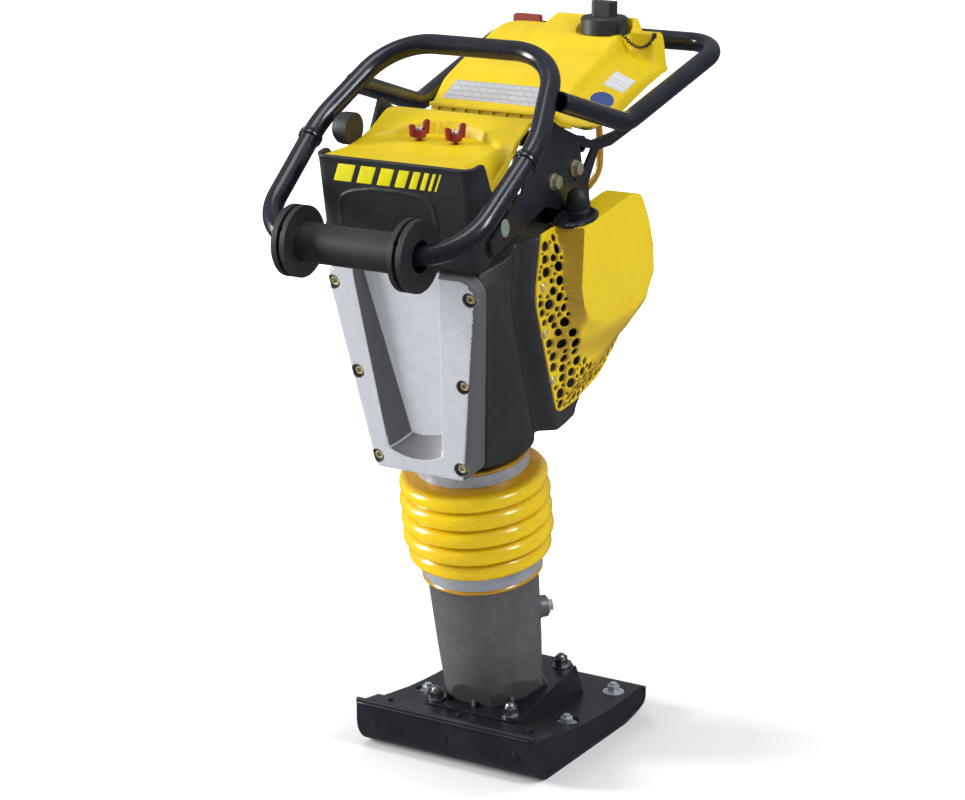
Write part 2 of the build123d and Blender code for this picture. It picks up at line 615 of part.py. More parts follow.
def handle_tubes():
    path = rounded_path(hoop_half_points(), (74, 150, 80))
    half = pipe(path, TUBE_R, TUBE_R - TUBE_WALL)
    solid_half = pipe(path, TUBE_R)
    write("handle_hoop", half + mirrored(half))
    points = [(0, 315, 934), (170, 315, 934), (158.5, 53, 863), (153.5, -114.4, 913.6)]
    arm = pipe(rounded_path(points, (48, 58)), TUBE_R, TUBE_R - TUBE_WALL)
    arm = arm - solid_half
    arm = max(arm.solids(), key=lambda solid: solid.volume)
    write("handle_loop", arm + mirrored(arm))
    return solid_half


def roller():
    """A rubber spool that turns on the hoop's lower bar."""
    spool = drum_x(25, -80, 80, ROLLER_Y, ROLLER_Z)
    for side in (-1, 1):
        for low, high in ((74, 81), (86, 94)):
            spool = spool + drum_x(45, *sorted((side * low, side * high)), ROLLER_Y, ROLLER_Z)
        spool = spool + drum_x(39, *sorted((side * 74, side * 94)), ROLLER_Y, ROLLER_Z)
    spool = spool - drum_x(TUBE_R + RUNNING, -100, 100, ROLLER_Y, ROLLER_Z)
    for side in (-1, 1):
        spool = spool - drum_x(20, *sorted((side * 66, side * 100)), ROLLER_Y, ROLLER_Z)
        for turn in range(6):
            hole = Rot(turn * 60, 0, 0) * drum(3.5, 30, 50, side * 83.5)
            spool = spool - Pos(0, ROLLER_Y, ROLLER_Z) * hole
    write("roller", spool)


SIDE_OUTLINE = ((-104, 896), (-60, 872), (-20, 856), (30, 840), (90, 843), (186, 858), (190, 849), (80, 826),
                (45, 826), (18, 786), (22, 762), (12, 742), (-8, 734), (-34, 742), (-52, 762), (-93, 774), (-162, 752),
                (-224, 733), (-228, 752), (-150, 802))
PLATE_BOLTS = ((-75, 803), (-20, 812))


def side_plates():
    plate = slab_x(SIDE_OUTLINE, PLATE_X, PLATE_X + SIDE_T)
    window = slab_x(((-6, 838), (30, 829), (4, 801)), PLATE_X - 5, PLATE_X + 20)
    plate = plate - window - drum_x(3, 100, 140, -18, 796)
    for y, z in PLATE_BOLTS:
        plate = plate - drum_x(6, 100, 140, y, z)
    centre = (RAM.location * Pos(0, MOUNT_U, MOUNT_S)).position
    return plate - drum_x(6, 100, 140, centre.Y, centre.Z)


def plate_bolt(x, y, z):
    """A flange bolt through a side plate, with its nut inside."""
    bolt = drum_x(6, x - 10, x + SIDE_T, y, z) + drum_x(11, x + SIDE_T, x + SIDE_T + 2, y, z)
    head = Pos(x + SIDE_T + 2, y, z) * Rot(0, 90, 0) * extrude(RegularPolygon(8, 6, major_radius=False), 7)
    return bolt + head


def handle_frame(hoop_solid):
    plate = side_plates()
    bolts = [plate_bolt(PLATE_X, y, z) for y, z in PLATE_BOLTS]
    bolts = bolts + [mirrored(bolt) for bolt in bolts]
    cross = drum_x(11, -PLATE_X, PLATE_X, 10, 838) - drum_x(8, -PLATE_X - 5, PLATE_X + 5, 10, 838)
    path = rounded_path([(170, 315, 934), (158.5, 53, 863), (153.5, -114.4, 913.6)], (58,))
    loop_solid = pipe(path, TUBE_R)
    lug = slab_x(((-70, 880), (-58, 872), (-20, 856), (20, 844), (60, 846), (60, 850), (20, 850), (-20, 862)),
                 PLATE_X + SIDE_T, PLATE_X + 34)
    right = plate + lug - loop_solid - hoop_solid
    right = max(right.solids(), key=lambda solid: solid.volume)
    write("side_plate_right", right)
    write("side_plate_left", mirrored(right))
    write("plate_bolts", group(bolts))
    write("cross_tube", cross)
    mounts = []
    for side in (-1, 1):
        low, high = sorted((side * 92, side * PLATE_X))
        pad = drum_x(22, low, high, MOUNT_U, MOUNT_S) - drum_x(14, low - 1, high + 1, MOUNT_U, MOUNT_S)
        mounts.append(pad)
    write("rubber_mounts", group(mounts), RAM)


def front_panel():
    """The charcoal tray between the hoop's arms: a front wall with two trimmed side walls."""
    outline = ((-112, PANEL_LOW), (112, PANEL_LOW), (115, 866), (109, 878), (-109, 878), (-115, 866))
    inner = ((-108, 738), (108, 738), (111, 866), (111, 890), (-111, 890), (-111, 866))
    shell = slab_y(outline, -115, -20) - slab_y(inner, -111, -10)
    trim = slab_x(((-60, 700), (-15, 700), (-15, 900), (-98, 900)), -150, 150)
    low_trim = slab_x(((-112, 700), (0, 700), (0, 800), (-60, 765)), -150, 150)
    shell = shell - trim - low_trim
    shell = max(shell.solids(), key=lambda solid: solid.volume)
    write("front_panel", shell, RAM)


KNOB_X = 26.7
KNOB_Y = -156.0


def hood():
    """The yellow filter cover inside the front panel: a knob deck in front of a full-width swell."""
    crest = ((-128, 857.5), (-122, 866), (-110, 880.5), (-98, 883), (-84, 881.5), (-60, 875.5), (-30, 868.5),
             (3, 861.5))
    under = ((3, 857.5), (-30, 864.5), (-60, 871.5), (-84, 877.5), (-98, 879), (-108, 877), (-118, 864),
             (-125, 853.5))
    lid = slab_x(((-256, 841.5), (-256, 845.5)) + crest + under, -109, 109)
    flap = slab_x(((-240, 844), (-233, 838), (-220, 812), (-210, 803), (-196, 803), (-182, 814), (-158, 842),
                   (-128, 857), (-180, 852)), -109, -105.5)
    shape = lid + flap + mirrored(flap)
    for side in (-1, 1):
        shape = shape - drum(4.2, 830, 870, side * KNOB_X, KNOB_Y)
    write("filter_hood", shape)
    filter_body = drum(46, 774, 834, 0, -165) - drum(34, 768, 826, 0, -165)
    write("air_filter", filter_body)
    for side_name, x in (("left", -KNOB_X), ("right", KNOB_X)):
        knob = drum(4, 842, 860, x, KNOB_Y) + drum(9, 858.5, 868, x, KNOB_Y)
        wing = block(x + 4, x + 15, KNOB_Y - 3, KNOB_Y + 3, 860, 882)
        wing = wing + block(x - 15, x - 4, KNOB_Y - 3, KNOB_Y + 3, 860, 882)
        write("wing_knob_" + side_name, knob + wing)


CAP_X = 40.0
CAP_Y = 210.0
WELL_R = 38.0
WELL_FLOOR = 952.0
LEVER_Y = 262.0
LEVER_Z = 936.0


def tank():
    """The hollow fuel tank: sloping main body, lower right lobe, raised plateau and filler well."""
    base = ((250, 912), (170, 892), (84, 862))
    main = ((26, 861), (26, 871), (38, 874), (62, 898), (103, 916), (168, 939), (190, 948), (218, 954), (250, 956))
    lobe = ((26, 861), (26, 865), (61, 879), (127, 903), (188, 925), (214, 931), (214, 951), (250, 953))
    top = ((150, 930), (150, 936), (165, 948), (246, 972), (250, 970), (250, 930))
    body = slab_x(main + base, -126, 76) + slab_x(lobe + base, 76, 124) + slab_x(top, -50, 76)
    in_base = ((246, 917), (169, 896.5), (83, 866))
    in_main = ((30, 865), (30, 868), (37, 870), (63, 893), (104, 911), (169, 934), (191, 943), (219, 949), (246, 951))
    in_lobe = ((30, 864), (62, 874.5), (128, 898.5), (189, 920.5), (218, 927), (218, 947), (246, 948))
    in_top = ((158, 925), (158, 934), (168, 943), (245, 966.5), (246, 966), (246, 925))
    void = slab_x(in_main + in_base, -122, 72) + slab_x(in_lobe + in_base, 71, 120) + slab_x(in_top, -46, 72)
    seat = drum(WELL_R, WELL_FLOOR, 1000, CAP_X, CAP_Y)
    floor = drum(WELL_R + 3, WELL_FLOOR - 4, WELL_FLOOR, CAP_X, CAP_Y) & body
    neck = ring(20, 16, 930, 962, CAP_X, CAP_Y)
    outlet = ring(4, 2.5, OUTLET_LOW, 890, OUTLET_X, OUTLET_Y)
    shape = body - void - seat + floor
    shape = shape - drum(16, 940, 990, CAP_X, CAP_Y) + neck + outlet
    shape = shape - drum(2.5, OUTLET_LOW, 895, OUTLET_X, OUTLET_Y)
    write("fuel_tank", max(shape.solids(), key=lambda solid: solid.volume))
    cap = drum(32, 953, 976, CAP_X, CAP_Y) - drum(20.4, 950, 966, CAP_X, CAP_Y)
    cap = chamfer(cap.faces().sort_by(Axis.Z)[-1].edges(), 3)
    grip = fillet(block(CAP_X - 18, CAP_X + 18, CAP_Y - 9, CAP_Y + 9, 975, 996).edges().filter_by(Axis.Z), 7)
    write("fuel_cap", cap + grip)
    bracket = block(-104, -101, 246, 268, 924, 945) - body
    bracket = bracket - drum_x(5, -110, -90, LEVER_Y, LEVER_Z)
    write("throttle_bracket", bracket)


def hoses():
    top = OUTLET_LOW - HOSE_GAP
    path = rounded_path([(OUTLET_X, OUTLET_Y, top), (60, 172, 800), (60, 160, 745), (-40, 120, 726)], (30, 20))
    write("fuel_hose", pipe(path, 4.5, 2.5))


def throttle():
    """The red speed lever, which swings back on the bracket behind the tank's left side."""
    axle = drum_x(5 - RUNNING, -112, -96, LEVER_Y, LEVER_Z)
    boss = drum_x(9, -112, -104.5, LEVER_Y, LEVER_Z)
    arm = block(-112, -104.5, LEVER_Y - 4, LEVER_Y + 4, LEVER_Z, LEVER_Z + 18)
    pad = block(-131, -88, LEVER_Y - 4, LEVER_Y + 4, LEVER_Z + 13, LEVER_Z + 27)
    pad = fillet(pad.edges().filter_by(Axis.Y), 4)
    write("throttle_lever", axle + boss + arm + pad)


sole_shape, core_shape = shoe()
pedestal(sole_shape, core_shape)
leg()
spring_pack()
bellows()
band(LEG_RIM + BELLOWS_WALL, 264, 281, "lower_bellows_clamp")
band(NECK_R + BELLOWS_WALL, 415, 431, "upper_bellows_clamp")
front_cover()
crankcase()
guide()
crank_train()
clutch()
engine()
guard()
hoop_shape = handle_tubes()
roller()
handle_frame(hoop_shape)
front_panel()
hood()
tank()
hoses()
throttle()
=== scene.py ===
import bmesh
import bpy
import json
import math
import random
import numpy as np
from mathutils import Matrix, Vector
from mathutils.geometry import delaunay_2d_cdt


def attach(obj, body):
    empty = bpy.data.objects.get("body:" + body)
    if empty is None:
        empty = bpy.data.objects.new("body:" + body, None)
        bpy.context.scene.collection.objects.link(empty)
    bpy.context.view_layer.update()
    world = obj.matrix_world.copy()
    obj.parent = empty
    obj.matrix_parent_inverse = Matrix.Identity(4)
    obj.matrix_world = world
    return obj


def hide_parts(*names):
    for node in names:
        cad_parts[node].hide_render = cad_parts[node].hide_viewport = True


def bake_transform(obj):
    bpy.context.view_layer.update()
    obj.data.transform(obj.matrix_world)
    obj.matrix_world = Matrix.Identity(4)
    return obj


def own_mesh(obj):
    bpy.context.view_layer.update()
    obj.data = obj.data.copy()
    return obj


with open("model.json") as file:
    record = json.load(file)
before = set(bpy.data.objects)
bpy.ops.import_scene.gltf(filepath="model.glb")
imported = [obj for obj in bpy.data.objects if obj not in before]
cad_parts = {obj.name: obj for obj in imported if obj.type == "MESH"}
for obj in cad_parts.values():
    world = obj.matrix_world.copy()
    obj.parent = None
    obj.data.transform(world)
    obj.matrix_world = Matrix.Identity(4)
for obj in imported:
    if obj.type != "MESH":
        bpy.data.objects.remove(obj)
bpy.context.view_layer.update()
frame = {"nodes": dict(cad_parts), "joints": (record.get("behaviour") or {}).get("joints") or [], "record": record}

# ---------------------------------------------------------------- frame values (metres)
STROKE = next(joint for joint in frame["joints"] if joint["name"] == "ram_stroke")
RAM_AXIS = Vector(STROKE["axis"]).normalized()
RAM_REAR = Vector((0, RAM_AXIS.z, -RAM_AXIS.y))
SIDE = Vector((1, 0, 0))
MM = 0.001


# ---------------------------------------------------------------- material helpers
MATERIALS = {}


class Shader:
    """A small wrapper that builds one node material."""

    def __init__(self, name):
        self.name = name
        self.mat = bpy.data.materials.new(name)
        self.mat.use_nodes = True
        self.nodes = self.mat.node_tree.nodes
        self.links = self.mat.node_tree.links
        self.bsdf = self.nodes["Principled BSDF"]
        self.place = self.nodes.new("ShaderNodeTexCoord").outputs["Object"]

    def put(self, socket, value):
        if isinstance(value, bpy.types.NodeSocket):
            self.links.new(value, socket)
        elif isinstance(value, (tuple, list)) and len(value) == 3 and socket.type == "RGBA":
            socket.default_value = (*value, 1)
        else:
            socket.default_value = value

    def add(self, kind, out=0, props=None, **inputs):
        node = self.nodes.new(kind)
        for key, value in (props or {}).items():
            setattr(node, key, value)
        for key, value in inputs.items():
            name = int(key[1:]) if key[0] == "i" and key[1:].isdigit() else key.replace("_", " ")
            self.put(node.inputs[name], value)
        return node.outputs[out]

    def noise(self, scale, detail=3.0, rough=0.55, stretch=None, out=0):
        place = self.place
        if stretch:
            place = self.add("ShaderNodeMapping", Vector=place, Scale=stretch)
        return self.add("ShaderNodeTexNoise", out=out, Vector=place, Scale=scale, Detail=detail,
                        Roughness=rough)

    def cells(self, scale, feature="F1", out=0):
        return self.add("ShaderNodeTexVoronoi", out=out, props={"feature": feature}, Vector=self.place,
                        Scale=scale)

    def span(self, value, low, high, to_low=0.0, to_high=1.0):
        return self.add("ShaderNodeMapRange", Value=value, i1=low, i2=high, i3=to_low, i4=to_high)

    def mix(self, share, first, second):
        return self.add("ShaderNodeMix", out=2, props={"data_type": "RGBA"}, i0=share, i6=first, i7=second)

    def math(self, operation, first, second):
        return self.add("ShaderNodeMath", props={"operation": operation}, i0=first, i1=second)

    def sum(self, first, second):
        return self.math("ADD", first, second)

    def times(self, first, second):
        return self.math("MULTIPLY", first, second)

    def vector(self, operation, first, second=None, out=0):
        inputs = {"i0": first} if second is None else {"i0": first, "i1": second}
        return self.add("ShaderNodeVectorMath", out=out, props={"operation": operation}, **inputs)

    def bevel(self, radius):
        """The surface normal, with edges rounded to this radius in metres."""
        return self.add("ShaderNodeBevel", props={"samples": 4}, Radius=radius)

    def facing(self):
        return self.nodes.new("ShaderNodeNewGeometry").outputs["Normal"]

    def edges(self, radius, low=0.02, high=0.25):
        """1 on worn convex edges and 0 on flats, from the angle between the plain and the rounded normal."""
        dot = self.vector("DOT_PRODUCT", self.bevel(radius), self.facing(), out=1)
        return self.span(dot, 1 - low, 1 - high)

    def turned(self, *ways):
        """1 on faces turned toward any of the given directions, 0 on the rest; the mask for painted shade."""
        normal = self.facing()
        total = None
        for way, low, high in ways:
            share = self.span(self.vector("DOT_PRODUCT", normal, tuple(way), out=1), low, high)
            total = share if total is None else self.math("MAXIMUM", total, share)
        return total

    def ram_radius(self):
        """Distance from the ram axis, in metres."""
        around = self.vector("CROSS_PRODUCT", self.place, tuple(RAM_AXIS))
        return self.vector("LENGTH", around, out=1)

    def bump(self, height, strength=0.3, distance=0.0005, normal=None):
        inputs = {"Strength": strength, "Distance": distance, "Height": height}
        if normal is not None:
            inputs["Normal"] = normal
        return self.add("ShaderNodeBump", **inputs)

    def finish(self, **inputs):
        for key, value in inputs.items():
            self.put(self.bsdf.inputs[key.replace("_", " ")], value)
        MATERIALS[self.name] = self.mat
        return self.mat


def grime(shader, amount=0.5, scale=14.0):
    """A broad uneven mask used to vary colour and roughness."""
    broad = shader.noise(scale, 4, 0.6)
    fine = shader.noise(scale * 9, 3, 0.6)
    both = shader.sum(shader.times(broad, 0.65), shader.times(fine, 0.35))
    return shader.span(both, 0.4, 0.65, 0.0, amount)


def plastic(name, color, dark, rough, grain_scale=900.0, grain=0.12, coat=0.0, wear=None, subsurface=0.0,
            shade=None, grooves=None):
    """Moulded plastic with a fine grain, a little colour drift and rubbed edges, and painted shade from shade= and
    grooves=.
    """
    shader = Shader(name)
    drift = grime(shader, 0.6)
    tone = shader.mix(drift, color, dark)
    # painted shade: a darker tone on faces turned the given ways
    if shade is not None:
        tone = shader.mix(shader.turned(*shade[1]), tone, shade[0])
    # painted shade in the grooves: a darker tone nearer the ram axis
    if grooves is not None:
        tone = shader.mix(shader.span(shader.ram_radius(), grooves[1], grooves[2]), tone, grooves[0])
    if wear is not None:
        rubbed = shader.times(shader.edges(0.0015), shader.span(shader.noise(160, 4, 0.7), 0.45, 0.62))
        tone = shader.mix(shader.times(rubbed, 0.6), tone, wear)
    texture = shader.noise(grain_scale, 2, 0.5)
    normal = shader.bevel(0.0009)
    return shader.finish(
        Base_Color=tone,
        Roughness=shader.span(drift, 0.0, 0.6, rough, rough + 0.12),
        Coat_Weight=coat,
        Coat_Roughness=0.12,
        Subsurface_Weight=subsurface,
        Subsurface_Scale=0.002,
        Normal=shader.bump(texture, grain, 0.0004, normal),
    )


def cast_metal(name, color, dark, metallic, rough, grain=0.5, grain_scale=420.0, speck=0.35, shade=None):
    """Sand-cast or painted casting: pitted grain, dark specks, edges polished by handling, and painted shade from
    shade=.
    """
    shader = Shader(name)
    drift = grime(shader, 0.7, 9.0)
    tone = shader.mix(drift, color, dark)
    # painted shade: a darker tone on faces turned the given ways
    if shade is not None:
        tone = shader.mix(shader.turned(*shade[1]), tone, shade[0])
    specks = shader.span(shader.noise(grain_scale * 3.2, 2, 0.6), 0.6, 0.72, 0.0, speck)
    tone = shader.mix(specks, tone, tuple(0.35 * part for part in dark))
    bright = shader.times(shader.edges(0.0022), shader.span(shader.noise(90, 4, 0.7), 0.4, 0.6))
    tone = shader.mix(shader.times(bright, 0.45), tone, tuple(min(1.0, part * 1.7 + 0.03) for part in color))
    pits = shader.noise(grain_scale, 4, 0.65)
    dents = shader.cells(grain_scale * 0.8)
    height = shader.sum(pits, shader.times(dents, 0.4))
    normal = shader.bevel(0.0016)
    return shader.finish(
        Base_Color=tone,
        Metallic=metallic,
        Roughness=shader.span(drift, 0.0, 0.7, rough, rough + 0.15),
        Normal=shader.bump(height, grain, 0.0004, normal),
    )


def bare_metal(name, color, tint, rough, brushed=(1, 1, 1), scale=300.0, edge=0.0006, metallic=1.0):
    """Plated or ground metal with faint tool lines and patchy tarnish."""
    shader = Shader(name)
    tarnish = grime(shader, 0.8, 40.0)
    tone = shader.mix(tarnish, color, tint)
    lines = shader.noise(scale, 3, 0.6, stretch=brushed)
    normal = shader.bevel(edge)
    return shader.finish(
        Base_Color=tone,
        Metallic=metallic,
        Roughness=shader.span(lines, 0.3, 0.7, rough, rough + 0.16),
        Normal=shader.bump(lines, 0.12, 0.0003, normal),
    )


def coated_steel(name, color, chip, rough, coat=0.4, peel=0.12, scratches=0.5):
    """Powder coat: orange peel, hairline scuffs and chipped corners."""
    shader = Shader(name)
    drift = grime(shader, 0.6, 20.0)
    tone = shader.mix(drift, color, tuple(part * 1.7 + 0.004 for part in color))
    scuff_lines = shader.noise(70, 5, 0.75, stretch=(1, 6, 1))
    scuffs = shader.span(scuff_lines, 0.62, 0.72, 0.0, scratches)
    chips = shader.times(shader.edges(0.0016), shader.span(shader.noise(120, 4, 0.7), 0.5, 0.6))
    tone = shader.mix(shader.times(scuffs, 0.25), tone, chip)
    tone = shader.mix(shader.times(chips, 0.7), tone, chip)
    normal = shader.bevel(0.001)
    return shader.finish(
        Base_Color=tone,
        Roughness=shader.sum(shader.span(drift, 0.0, 0.6, rough, rough + 0.1), shader.times(scuffs, 0.3)),
        Coat_Weight=coat,
        Coat_Roughness=0.08,
        Normal=shader.bump(shader.noise(330, 2, 0.4), peel, 0.0004, normal),
    )


def film(name, color, dark, lines=None, scale=(60, 0, 40)):
    """A printed sticker: satin film with an optional grid of ruled boxes."""
    shader = Shader(name)
    drift = grime(shader, 0.5, 30.0)
    tone = shader.mix(drift, color, dark)
    if lines is not None:
        cells = shader.add("ShaderNodeTexBrick", props={"offset": 0.5}, Vector=shader.place, Scale=1.0,
                           Color1=(0, 0, 0), Color2=(0.25, 0.25, 0.25), Mortar=(1, 1, 1),
                           Mortar_Size=0.0006, Brick_Width=scale[0] * MM, Row_Height=scale[2] * MM)
        tone = shader.mix(shader.times(cells, 0.5), tone, lines)
    return shader.finish(Base_Color=tone, Roughness=shader.span(drift, 0, 0.5, 0.28, 0.4), Coat_Weight=0.3,
                         Normal=shader.bump(shader.noise(600, 2, 0.5), 0.06, 0.0003))


YELLOW = (0.80, 0.575, 0.001)
DEEP_YELLOW = (0.72, 0.49, 0.001)
RUBBED_YELLOW = (0.85, 0.66, 0.18)
# shade= and grooves= are painted shade: a darker tone by the way a face points, or by its distance from the ram
# axis. That is colour chosen for one viewpoint and not lighting, so it stays put when the lights or the camera
# move.
plastic("yellow_plastic", YELLOW, DEEP_YELLOW, 0.42, wear=RUBBED_YELLOW)
# yellow_bellows: painted shade in the grooves, darkening to orange-brown from 97 mm to 88.5 mm from the ram axis
plastic("yellow_bellows", (0.84, 0.58, 0.001), (0.74, 0.47, 0.001), 0.2, 500, 0.04, 0.5,
        subsurface=0.15, grooves=((0.50, 0.25, 0.004), 0.0970, 0.0885))
plastic("charcoal_plastic", (0.018, 0.019, 0.023), (0.03, 0.031, 0.035), 0.38, 700, 0.3,
        wear=(0.10, 0.10, 0.11))
plastic("red_plastic", (0.27, 0.02, 0.012), (0.17, 0.012, 0.008), 0.38, wear=(0.45, 0.12, 0.08))
plastic("black_rubber", (0.010, 0.0105, 0.013), (0.028, 0.028, 0.03), 0.5, 420, 0.35,
        wear=(0.07, 0.07, 0.075))
plastic("amber_hose", (0.62, 0.36, 0.06), (0.45, 0.24, 0.03), 0.18, 300, 0.05, 0.5, subsurface=0.4)
plastic("filter_paper", (0.7, 0.62, 0.45), (0.5, 0.44, 0.32), 0.85, 500, 0.6)
# cover_casting: painted shade, a dark grey on faces turned to the right or up the ram axis, such as the recess's
# left wall, its lower slope and the cover's right side
cast_metal("cover_casting", (0.62, 0.645, 0.69), (0.50, 0.515, 0.55), 0.2, 0.42, 0.55, 520, 0.45,
           ((0.12, 0.125, 0.135), ((SIDE, 0.34, 0.46), (RAM_AXIS, 0.34, 0.46))))
cast_metal("case_casting", (0.040, 0.040, 0.042), (0.026, 0.026, 0.028), 0.15, 0.38, 0.25, 500, 0.2)
cast_metal("leg_casting", (0.19, 0.187, 0.195), (0.11, 0.108, 0.112), 0.45, 0.34, 0.3, 300, 0.3)
cast_metal("engine_alloy", (0.42, 0.42, 0.43), (0.30, 0.30, 0.31), 0.7, 0.42)
coated_steel("engine_paint", (0.02, 0.02, 0.021), (0.25, 0.25, 0.26), 0.4, 0.1)
coated_steel("shoe_laminate", (0.009, 0.009, 0.011), (0.07, 0.07, 0.08), 0.36, 0.15, 0.2, 0.4)
coated_steel("black_steel", (0.009, 0.010, 0.015), (0.12, 0.12, 0.14), 0.28, 0.2, 0.08, 0.25)
coated_steel("tube_coat", (0.005, 0.006, 0.012), (0.10, 0.10, 0.12), 0.2, 0.2, 0.03, 0.08)
bare_metal("zinc", (0.66, 0.71, 0.78), (0.46, 0.49, 0.54), 0.28, (1, 1, 8), metallic=0.6)
bare_metal("yellow_zinc", (0.74, 0.68, 0.44), (0.50, 0.42, 0.24), 0.26, metallic=0.6)
bare_metal("machined_steel", (0.56, 0.56, 0.58), (0.42, 0.41, 0.42), 0.2, (1, 1, 14))
bare_metal("spring_steel", (0.16, 0.16, 0.18), (0.28, 0.20, 0.14), 0.34)
bare_metal("bearing_bronze", (0.62, 0.43, 0.20), (0.45, 0.28, 0.12), 0.25, (1, 1, 9))
film("stripe_film", (0.92, 0.83, 0.01), (0.86, 0.74, 0.01))
film("label_film", (0.55, 0.56, 0.58), (0.46, 0.47, 0.49), (0.16, 0.14, 0.15), (14, 0, 6))
film("patch_film", (0.80, 0.80, 0.80), (0.70, 0.70, 0.71), (0.35, 0.35, 0.36), (30, 0, 9))
bare_metal("dark_zinc", (0.30, 0.30, 0.32), (0.15, 0.15, 0.155), 0.28)
# The guard's material: painted shade, a dark yellow on faces turned to the front, the raised block's walls, or
# downward, the lower slope.
plastic("guard_yellow_painted_shade", YELLOW, DEEP_YELLOW, 0.42, wear=RUBBED_YELLOW,
        shade=((0.42, 0.25, 0.004), ((-RAM_REAR, 0.30, 0.62), (-RAM_AXIS, 0.12, 0.55))))
bare_metal("aged_zinc", (0.58, 0.53, 0.36), (0.30, 0.27, 0.18), 0.24, metallic=0.65)
film("round_sticker", (0.20, 0.27, 0.20), (0.14, 0.20, 0.15))
film("disc_film", (0.03, 0.06, 0.26), (0.05, 0.09, 0.30))

# CAD nodes whose finish differs from the rest of their slot
FINISH = {"leg_nuts": "dark_zinc", "plate_bolts": "aged_zinc"}

for entry in frame["record"]["subparts"]:
    node = frame["nodes"][entry["node"]]
    node.data.materials.clear()
    node.data.materials.append(MATERIALS[FINISH.get(entry["node"], entry["material_slot"])])


# ---------------------------------------------------------------- mesh helpers
def placed_object(name, data):
    thing = bpy.data.objects.new(name, data)
    bpy.context.scene.collection.objects.link(thing)
    return thing


def finish_mesh(name, points, faces, slot, body, sharp=32.0, material=None):
    """A closed mesh in millimetre points, with its finish and the body it rides on."""
    mesh = bpy.data.meshes.new(name)
    mesh.from_pydata([tuple(point) for point in np.asarray(points) * MM], [], faces)
    work = bmesh.new()
    work.from_mesh(mesh)
    bmesh.ops.recalc_face_normals(work, faces=work.faces)
    work.to_mesh(mesh)
    work.free()
    mesh.polygons.foreach_set("use_smooth", [True] * len(mesh.polygons))
    mesh.set_sharp_from_angle(angle=math.radians(sharp))
    mesh.materials.append(MATERIALS[material or slot])
    piece = placed_object(name, mesh)
    if body:
        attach(piece, body)
    return piece


def world_place(points):
    return points


def ram_place(points):
    """Ram-frame millimetres (x, u, s) to world millimetres."""
    axes = np.array([tuple(SIDE), tuple(RAM_REAR), tuple(RAM_AXIS)])
    return np.asarray(points) @ axes


def facing_up(a, b, w):
    """A relief drawn in plan: a is x, b is y, w is height."""
    return np.stack([a, b, w], 1)


def facing_front(a, b, w):
    """A relief seen from the front in the ram frame: a is x, b is s, w is how far forward."""
    return ram_place(np.stack([a, -w, b], 1))


def facing_right(a, b, w):
    """A relief seen from the right in the ram frame: a is u, b is s, w is x."""
    return ram_place(np.stack([w, a, b], 1))


def facing_side(a, b, w):
    """A relief seen from the right in world axes: a is y, b is z, w is x."""
    return np.stack([w, a, b], 1)


def ease(value, low, high):
    """A smooth step from 0 at low to 1 at high."""
    t = np.clip((value - low) / (high - low), 0, 1)
    return t * t * (3 - 2 * t)


def table(value, *knots):
    """A smooth curve through (position, height) knots."""
    xs = np.array([knot[0] for knot in knots], float)
    ys = np.array([knot[1] for knot in knots], float)
    fine = np.linspace(xs[0], xs[-1], 241)
    line = np.interp(fine, xs, ys)
    pad = 5
    wide = np.concatenate([2 * line[0] - line[pad:0:-1], line, 2 * line[-1] - line[-2:-pad - 2:-1]])
    soft = np.convolve(wide, np.ones(2 * pad + 1) / (2 * pad + 1), "valid")
    return np.interp(value, fine, soft)


def rounded(points, radius, steps=5):
    """A closed outline with its corners rounded; radius may be one number or one per corner."""
    points = [np.array(point, float) for point in points]
    radii = radius if isinstance(radius, (list, tuple)) else [radius] * len(points)
    result = []
    for index, corner in enumerate(points):
        before = points[index - 1] - corner
        after = points[(index + 1) % len(points)] - corner
        reach = min(radii[index], 0.45 * np.linalg.norm(before), 0.45 * np.linalg.norm(after))
        if reach < 0.05:
            result.append(corner)
            continue
        start = corner + before / np.linalg.norm(before) * reach
        end = corner + after / np.linalg.norm(after) * reach
        for step in range(steps + 1):
            t = step / steps
            result.append((1 - t) ** 2 * start + 2 * t * (1 - t) * corner + t * t * end)
    return np.array(result)


def circle(x, y, radius, count=16, stretch=1.0, turn=0.0):
    angles = np.arange(count) * 2 * math.pi / count
    shape = np.stack([np.cos(angles) * radius, np.sin(angles) * radius * stretch], 1)
    spin = np.array([[math.cos(turn), math.sin(turn)], [-math.sin(turn), math.cos(turn)]])
    return shape @ spin + np.array([x, y])


def divided(loop, spacing):
    """The closed loop with its long edges cut into pieces no longer than spacing."""
    result = []
    for start, end in zip(loop, np.roll(loop, -1, axis=0)):
        count = max(1, int(math.ceil(np.linalg.norm(end - start) / spacing)))
        for step in range(count):
            result.append(start + (end - start) * step / count)
    return np.array(result)


def gap_to(points, loops, closed=True):
    """Distance from each point to the nearest edge of the loops, or of open lines."""
    best = np.full(len(points), 1e9)
    for loop in loops:
        start = loop if closed else loop[:-1]
        edge = np.roll(loop, -1, axis=0) - loop if closed else loop[1:] - start
        length = (edge ** 2).sum(1) + 1e-12
        for first in range(0, len(points), 4000):
            part = points[first:first + 4000, None, :]
            t = np.clip(((part - start) * edge).sum(2) / length, 0, 1)
            gaps = np.linalg.norm(part - (start + t[..., None] * edge), axis=2).min(1)
            best[first:first + 4000] = np.minimum(best[first:first + 4000], gaps)
    return best


def inside(points, loop):
    x = points[:, 0]
    y = points[:, 1]
    result = np.zeros(len(points), bool)
    for (x0, y0), (x1, y1) in zip(loop, np.roll(loop, -1, axis=0)):
        if y0 == y1:
            continue
        crosses = (y0 > y) != (y1 > y)
        result ^= crosses & (x < (x1 - x0) * (y - y0) / (y1 - y0) + x0)
    return result


def round_drop(gap, radius):
    """How far a rounded edge lies below the face, at this gap from the outline."""
    near = radius - np.minimum(gap, radius)
    return radius - np.sqrt(np.maximum(radius ** 2 - near ** 2, 0))


def level(face, a, b):
    """The height of a face over (a, b): a function of both, or one number for a flat face."""
    return face(a, b) if callable(face) else np.full(len(a), float(face))


